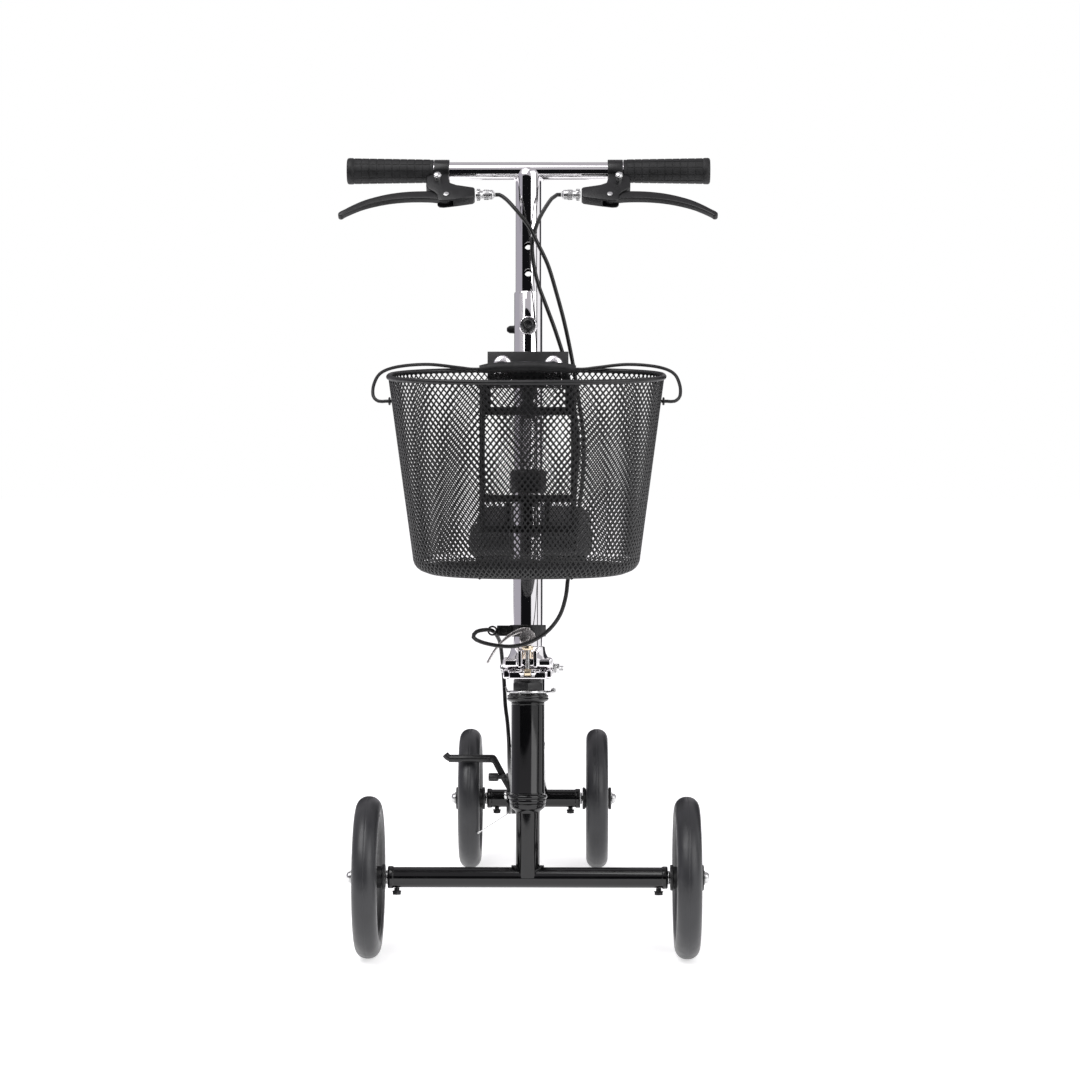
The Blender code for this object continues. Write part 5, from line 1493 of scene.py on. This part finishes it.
LEFT_ROUTE = [
    (40.8, -28.3, 844.1), (35.8, -28.3, 844.1), (29.0, -30.0, 839.0), (18.5, -32.0, 823.0), (10.5, -32.5, 806.0),
    (5.0, -32.5, 783.0), (6.8, -32.0, 758.0), (12.5, -30.0, 733.0), (22.5, -28.0, 706.0), (34.0, -24.5, 675.0),
    (45.5, -20.5, 638.0), (55.0, -19.0, 592.0), (62.0, -19.0, 538.0), (59.0, -18.0, 488.0),
    (56.2, -14.5, 462.0), (56.2, -14.5, 456.4),
]
RIGHT_ROUTE = [
    (-40.8, -28.3, 844.1), (-35.8, -28.3, 844.1), (-27.0, -31.0, 838.0), (-13.0, -37.0, 822.0),
    (2.0, -40.0, 802.0), (11.5, -40.0, 783.0), (24.5, -37.0, 756.0), (35.0, -33.0, 722.0), (45.0, -28.0, 685.0),
    (54.5, -21.5, 640.0), (62.5, -19.0, 592.0), (69.0, -19.0, 538.0), (67.0, -18.0, 488.0),
    (63.8, -14.5, 462.0), (63.8, -14.5, 456.4),
]
REAR_STEERED = [
    (60.0, -14.5, 425.7), (60.0, -14.5, 420.0), (57.0, -17.0, 400.0), (50.0, -23.0, 372.0), (47.0, -30.0, 348.0),
    (40.0, -40.0, 325.0), (27.0, -47.0, 307.0), (12.0, -49.0, 296.0), (-5.0, -49.0, 288.5), (-22.0, -48.0, 286.0),
    (-40.0, -46.0, 287.5), (-57.0, -42.0, 291.5), (-66.5, -36.0, 297.0), (-63.0, -27.0, 304.0),
    (-51.0, -17.0, 306.5), (-44.0, -6.0, 305.2), (-39.5, 6.0, 300.0), (-35.0, 24.0, 289.0), (-32.5, 40.0, 265.0),
    (-30.5, 45.0, 240.0), (-29.0, 44.0, 212.0), (-26.2, 42.0, 190.0), (-24.5, 44.0, 165.0),
]
REAR_FIXED = [
    (-24.5, 85.0, 227.0), (-25.0, 140.0, 206.0), (-25.5, 230.0, 185.0), (-26.5, 340.0, 152.0),
    (-29.0, 410.0, 120.0), (-31.5, 445.0, 106.0), (-31.5, 465.7, 104.0),
]
CABLE_R = 2.5
# The point of the steered route, below the collar, where the cable is cut into an upper and a lower piece.
BEND_AT = 19


def cable(name, route, node=None):
    piece = Shape().wire(route, CABLE_R, sides=16)
    made = piece.finish(name, ROW, "cable_sheath", None)
    if node:
        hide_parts(node)
    return made


def make_cables():
    for side, route in (("left", LEFT_ROUTE), ("right", RIGHT_ROUTE)):
        placed = smooth_route([steered(*point) for point in route], 6.0)
        made = cable("visual_brake_cable_" + side, placed, "brake_cable_" + side)
        tuple(placed[0] * MM)
        tuple(placed[-1] * MM)
        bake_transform(made)
    whole = [steered(*point) for point in REAR_STEERED] + [behind(*point) for point in REAR_FIXED]
    placed = smooth_route(whole, 6.0)
    low_end = steered(*REAR_STEERED[BEND_AT])
    split = min(range(len(placed)), key=lambda index: (placed[index] - low_end).length)
    upper = cable("rear_brake_cable_upper", placed[:split + 1], "rear_brake_cable")
    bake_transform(upper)
    lower = cable("rear_brake_cable_lower", placed[split:])
    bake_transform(lower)
    joiner = Shape().turned(
        [(0.0, 456.0), (7.0, 456.0), (8.0, 454.6), (8.0, 427.4), (7.0, 426.0), (0.0, 426.0)], at(60.0, -14.5, 0), 48,
        False, 0.3,
    )
    joiner.finish("visual_cable_joiner", STEER, "satin_black", "column", "cable_joiner")
    ferrule = Shape().between(behind(-31.5, 452.0, 105.0), behind(-31.5, 465.6, 104.0), 3.2, 32, 0.4)
    ferrule.finish("cable_end_cap", ROW, "zinc_steel", "frame")
    inner = [
        behind(-31.5, 474.5, 103.0), behind(-31.5, 500.0, 101.0), behind(-31.5, 512.0, 100.0),
        behind(-35.0, 513.0, 93.0), behind(-56.0, 512.0, 79.0), behind(-78.0, 510.0, 65.0),
    ]
    wire = Shape().wire(smooth_route(inner, 2.0), 0.75, sides=10)
    wire.between(behind(-74.0, 510.4, 67.5), behind(-78.4, 510.0, 64.7), 1.3, 16, 0.2)
    wire.finish("visual_brake_inner_wire", ROW, "zinc_steel", "brake", "brake_inner_wire")


# ---- studio ----
def card(name, work, shade):
    """A flat card that only reflections see."""
    mesh = bpy.data.meshes.new(name)
    work.to_mesh(mesh)
    work.free()
    made = bpy.data.objects.new(name, mesh)
    bpy.context.scene.collection.objects.link(made)
    finish = Finish(
        name, roughness=1.0, specular_ior_level=0.0, base_color=(0, 0, 0), emission_color=(*shade, 1.0),
        emission_strength=1.0,
    )
    mesh.materials.append(finish.material)
    made.visible_camera = False
    made.visible_diffuse = False
    made.visible_shadow = False
    made.visible_transmission = False


def facing_card(name, azimuth, width, low, high, distance, shade):
    """An upright card at an angle round the scooter: 0 is ahead of it, positive towards its left."""
    turn = math.radians(azimuth)
    place = Matrix.Translation((distance * math.sin(turn), -distance * math.cos(turn), (low + high) / 2))
    span = 2 * distance * math.tan(math.radians(width / 2))
    work = bmesh.new()
    bmesh.ops.create_grid(work, x_segments=1, y_segments=1, size=0.5)
    bmesh.ops.scale(work, vec=(span, high - low, 1.0), verts=work.verts)
    bmesh.ops.transform(work, matrix=place @ turned_to(turn, "Z") @ turned_to(math.pi / 2, "X"), verts=work.verts)
    card(name, work, shade)


def floor_wedge(name, azimuth, width, near, far, shade):
    """A card on the floor between two distances and two angles round the scooter."""
    work = bmesh.new()
    bmesh.ops.create_grid(work, x_segments=1, y_segments=1, size=0.5)
    for point in work.verts:
        distance = far if point.co.y < 0 else near
        across = point.co.x * 2 * distance * math.tan(math.radians(width / 2))
        point.co = (across, -distance, 0.004)
    bmesh.ops.transform(work, matrix=turned_to(math.radians(azimuth), "Z"), verts=work.verts)
    card(name, work, shade)


def make_studio():
    scene = bpy.context.scene
    settings = studio()
    floor = Shape()
    part = bmesh.new()
    bmesh.ops.create_grid(part, x_segments=1, y_segments=1, size=9000.0)
    floor.take(part)
    bmesh.ops.scale(floor.work, vec=(MM, MM, MM), verts=floor.work.verts)
    made = floor.as_object("studio_floor")
    made.data.materials.append(floor_finish())

    dark = (0.006, 0.006, 0.007)
    white = (0.97, 0.97, 0.98)
    floor_wedge("card_floor_ahead", -16.0, 82.0, 1.35, 9.0, dark)
    facing_card("card_ahead", -16.0, 82.0, 0.0, 4.2, 8.9, dark)
    facing_card("card_right_grey", -102.0, 90.0, 0.0, 3.0, 5.0, (0.42, 0.405, 0.45))
    facing_card("card_left_bright", 49.5, 49.0, 0.0, 4.5, 6.0, white)
    facing_card("card_left_side", 100.5, 37.0, 0.0, 3.6, 4.6, white)
    facing_card("card_left_strip", 78.0, 8.0, 0.0, 3.0, 4.0, dark)
    facing_card("card_left_rear", 140.0, 40.0, 0.0, 3.0, 4.6, (0.03, 0.03, 0.035))
    facing_card("card_right_rear", -165.0, 30.0, 0.0, 3.0, 4.8, (0.05, 0.05, 0.055))

    world = scene.world or bpy.data.worlds.new("studio")
    scene.world = world
    world.use_nodes = True
    nodes = world.node_tree.nodes
    links = world.node_tree.links
    back = nodes["Background"]
    back.inputs["Color"].default_value = (1.0, 1.0, 1.0, 1.0)
    back.inputs["Strength"].default_value = settings.surround
    dim = nodes.new("ShaderNodeBackground")
    dim.inputs["Color"].default_value = (0.98, 0.95, 1.0, 1.0)
    dim.inputs["Strength"].default_value = settings.surround * settings.ambient
    seen = nodes.new("ShaderNodeLightPath")
    choice = nodes.new("ShaderNodeMixShader")
    links.new(seen.outputs["Is Camera Ray"], choice.inputs["Fac"])
    links.new(dim.outputs["Background"], choice.inputs[1])
    links.new(back.outputs["Background"], choice.inputs[2])
    links.new(choice.outputs["Shader"], nodes["World Output"].inputs["Surface"])

    for name, spot, size, power in (
        ("key_light", (-1.2, -1.4, 3.0), 2.4, settings.key),
        ("fill_light", (1.8, -1.8, 2.0), 2.0, settings.key * 0.4),
    ):
        lamp = bpy.data.lights.new(name, "AREA")
        lamp.shape = "SQUARE"
        lamp.size = size
        lamp.energy = power
        light = bpy.data.objects.new(name, lamp)
        light.location = spot
        aim = Vector((0, 0, 0.4)) - Vector(spot)
        light.rotation_euler = aim.to_track_quat("-Z", "Y").to_euler()
        scene.collection.objects.link(light)

    lens = bpy.data.cameras.new("camera")
    lens.lens = settings.lens
    lens.sensor_width = 36.0
    camera = bpy.data.objects.new("camera", lens)
    camera.location = settings.camera_place
    camera.rotation_euler = (math.pi / 2 - settings.camera_tilt, 0, settings.camera_turn)
    scene.collection.objects.link(camera)
    scene.camera = camera
    scene.view_settings.view_transform = "Standard"


# ---- operators, panel and registration ----
class BuildStep:
    """What every operator does: it runs its makers in turn."""

    makers = ()

    def execute(self, context):
        for make in self.makers:
            make()
        return {"FINISHED"}


class SCOOTER_OT_wheels(BuildStep, bpy.types.Operator):
    """Tyres, rims, bearings, axle bolts and clamp bolts"""

    bl_idname = "scooter.wheels"
    bl_label = "Wheels and axles"
    makers = (make_wheels,)


class SCOOTER_OT_frame(BuildStep, bpy.types.Operator):
    """Main tube, head tube, seat tube and rear crossbar"""

    bl_idname = "scooter.frame"
    bl_label = "Frame"
    makers = (make_frame,)


class SCOOTER_OT_fork(BuildStep, bpy.types.Operator):
    """Fork, headset cups, clip and locknut"""

    bl_idname = "scooter.fork"
    bl_label = "Fork and headset"
    makers = (make_fork, make_headset)


class SCOOTER_OT_hinge(BuildStep, bpy.types.Operator):
    """Folding hinge and its latch"""

    bl_idname = "scooter.hinge"
    bl_label = "Hinge and latch"
    makers = (make_hinge, make_latch)


class SCOOTER_OT_column(BuildStep, bpy.types.Operator):
    """Column tube, height knob, clamp screw and collars"""

    bl_idname = "scooter.column"
    bl_label = "Column"
    makers = (make_column,)


class SCOOTER_OT_basket(BuildStep, bpy.types.Operator):
    """Basket, its bracket and its bail"""

    bl_idname = "scooter.basket"
    bl_label = "Basket"
    makers = (make_bracket, make_basket, make_bail)


class SCOOTER_OT_handlebar(BuildStep, bpy.types.Operator):
    """Handlebar with its stem, and the grips"""

    bl_idname = "scooter.handlebar"
    bl_label = "Handlebar"
    makers = (make_handlebar, make_grips)


class SCOOTER_OT_levers(BuildStep, bpy.types.Operator):
    """Brake levers, their brackets and cable adjusters"""

    bl_idname = "scooter.levers"
    bl_label = "Brake levers"
    makers = (make_levers,)


class SCOOTER_OT_seat(BuildStep, bpy.types.Operator):
    """Seat post, board and height knob"""

    bl_idname = "scooter.seat"
    bl_label = "Seat post and board"
    makers = (make_seat,)


class SCOOTER_OT_pad(BuildStep, bpy.types.Operator):
    """Padded knee rest"""

    bl_idname = "scooter.pad"
    bl_label = "Knee pad"
    makers = (make_pad,)


class SCOOTER_OT_brake(BuildStep, bpy.types.Operator):
    """Rear brake arm, its bolt and adjuster"""

    bl_idname = "scooter.brake"
    bl_label = "Rear brake"
    makers = (make_brake,)


class SCOOTER_OT_cables(BuildStep, bpy.types.Operator):
    """Brake cables and their joiner"""

    bl_idname = "scooter.cables"
    bl_label = "Cables"
    makers = (make_cables,)


class SCOOTER_OT_studio(BuildStep, bpy.types.Operator):
    """Floor, lights and camera"""

    bl_idname = "scooter.studio"
    bl_label = "Studio"
    makers = (make_studio,)


OPERATORS = (
    SCOOTER_OT_studio, SCOOTER_OT_cables, SCOOTER_OT_wheels, SCOOTER_OT_frame, SCOOTER_OT_fork,
    SCOOTER_OT_hinge, SCOOTER_OT_column, SCOOTER_OT_basket, SCOOTER_OT_handlebar, SCOOTER_OT_levers,
    SCOOTER_OT_seat, SCOOTER_OT_pad, SCOOTER_OT_brake,
)


class SCOOTER_PT_panel(bpy.types.Panel):
    """The scooter's settings and the steps that build it"""

    bl_idname = "SCOOTER_PT_panel"
    bl_label = "Knee scooter"
    bl_space_type = "VIEW_3D"
    bl_region_type = "UI"
    bl_category = "Scooter"

    def draw(self, context):
        for group in (context.scene.scooter_colours, context.scene.scooter_sizes, context.scene.scooter_studio):
            box = self.layout.box()
            for name in group.bl_rna.properties.keys():
                if name not in ("name", "rna_type"):
                    box.prop(group, name)
        for operator in OPERATORS:
            self.layout.operator(operator.bl_idname)


GROUPS = {
    "scooter_colours": ScooterColours,
    "scooter_sizes": ScooterSizes,
    "scooter_studio": StudioSettings,
}


def register():
    for made in (*GROUPS.values(), *OPERATORS, SCOOTER_PT_panel):
        bpy.utils.register_class(made)
    for name, group in GROUPS.items():
        setattr(bpy.types.Scene, name, bpy.props.PointerProperty(type=group))


def unregister():
    for name in GROUPS:
        delattr(bpy.types.Scene, name)
    for made in (SCOOTER_PT_panel, *OPERATORS[::-1], *GROUPS.values()):
        bpy.utils.unregister_class(made)


def main():
    register()
    for operator in OPERATORS:
        area, name = operator.bl_idname.split(".")
        getattr(getattr(bpy.ops, area), name)()
    bpy.context.view_layer.update()


if __name__ == "__main__":
    main()
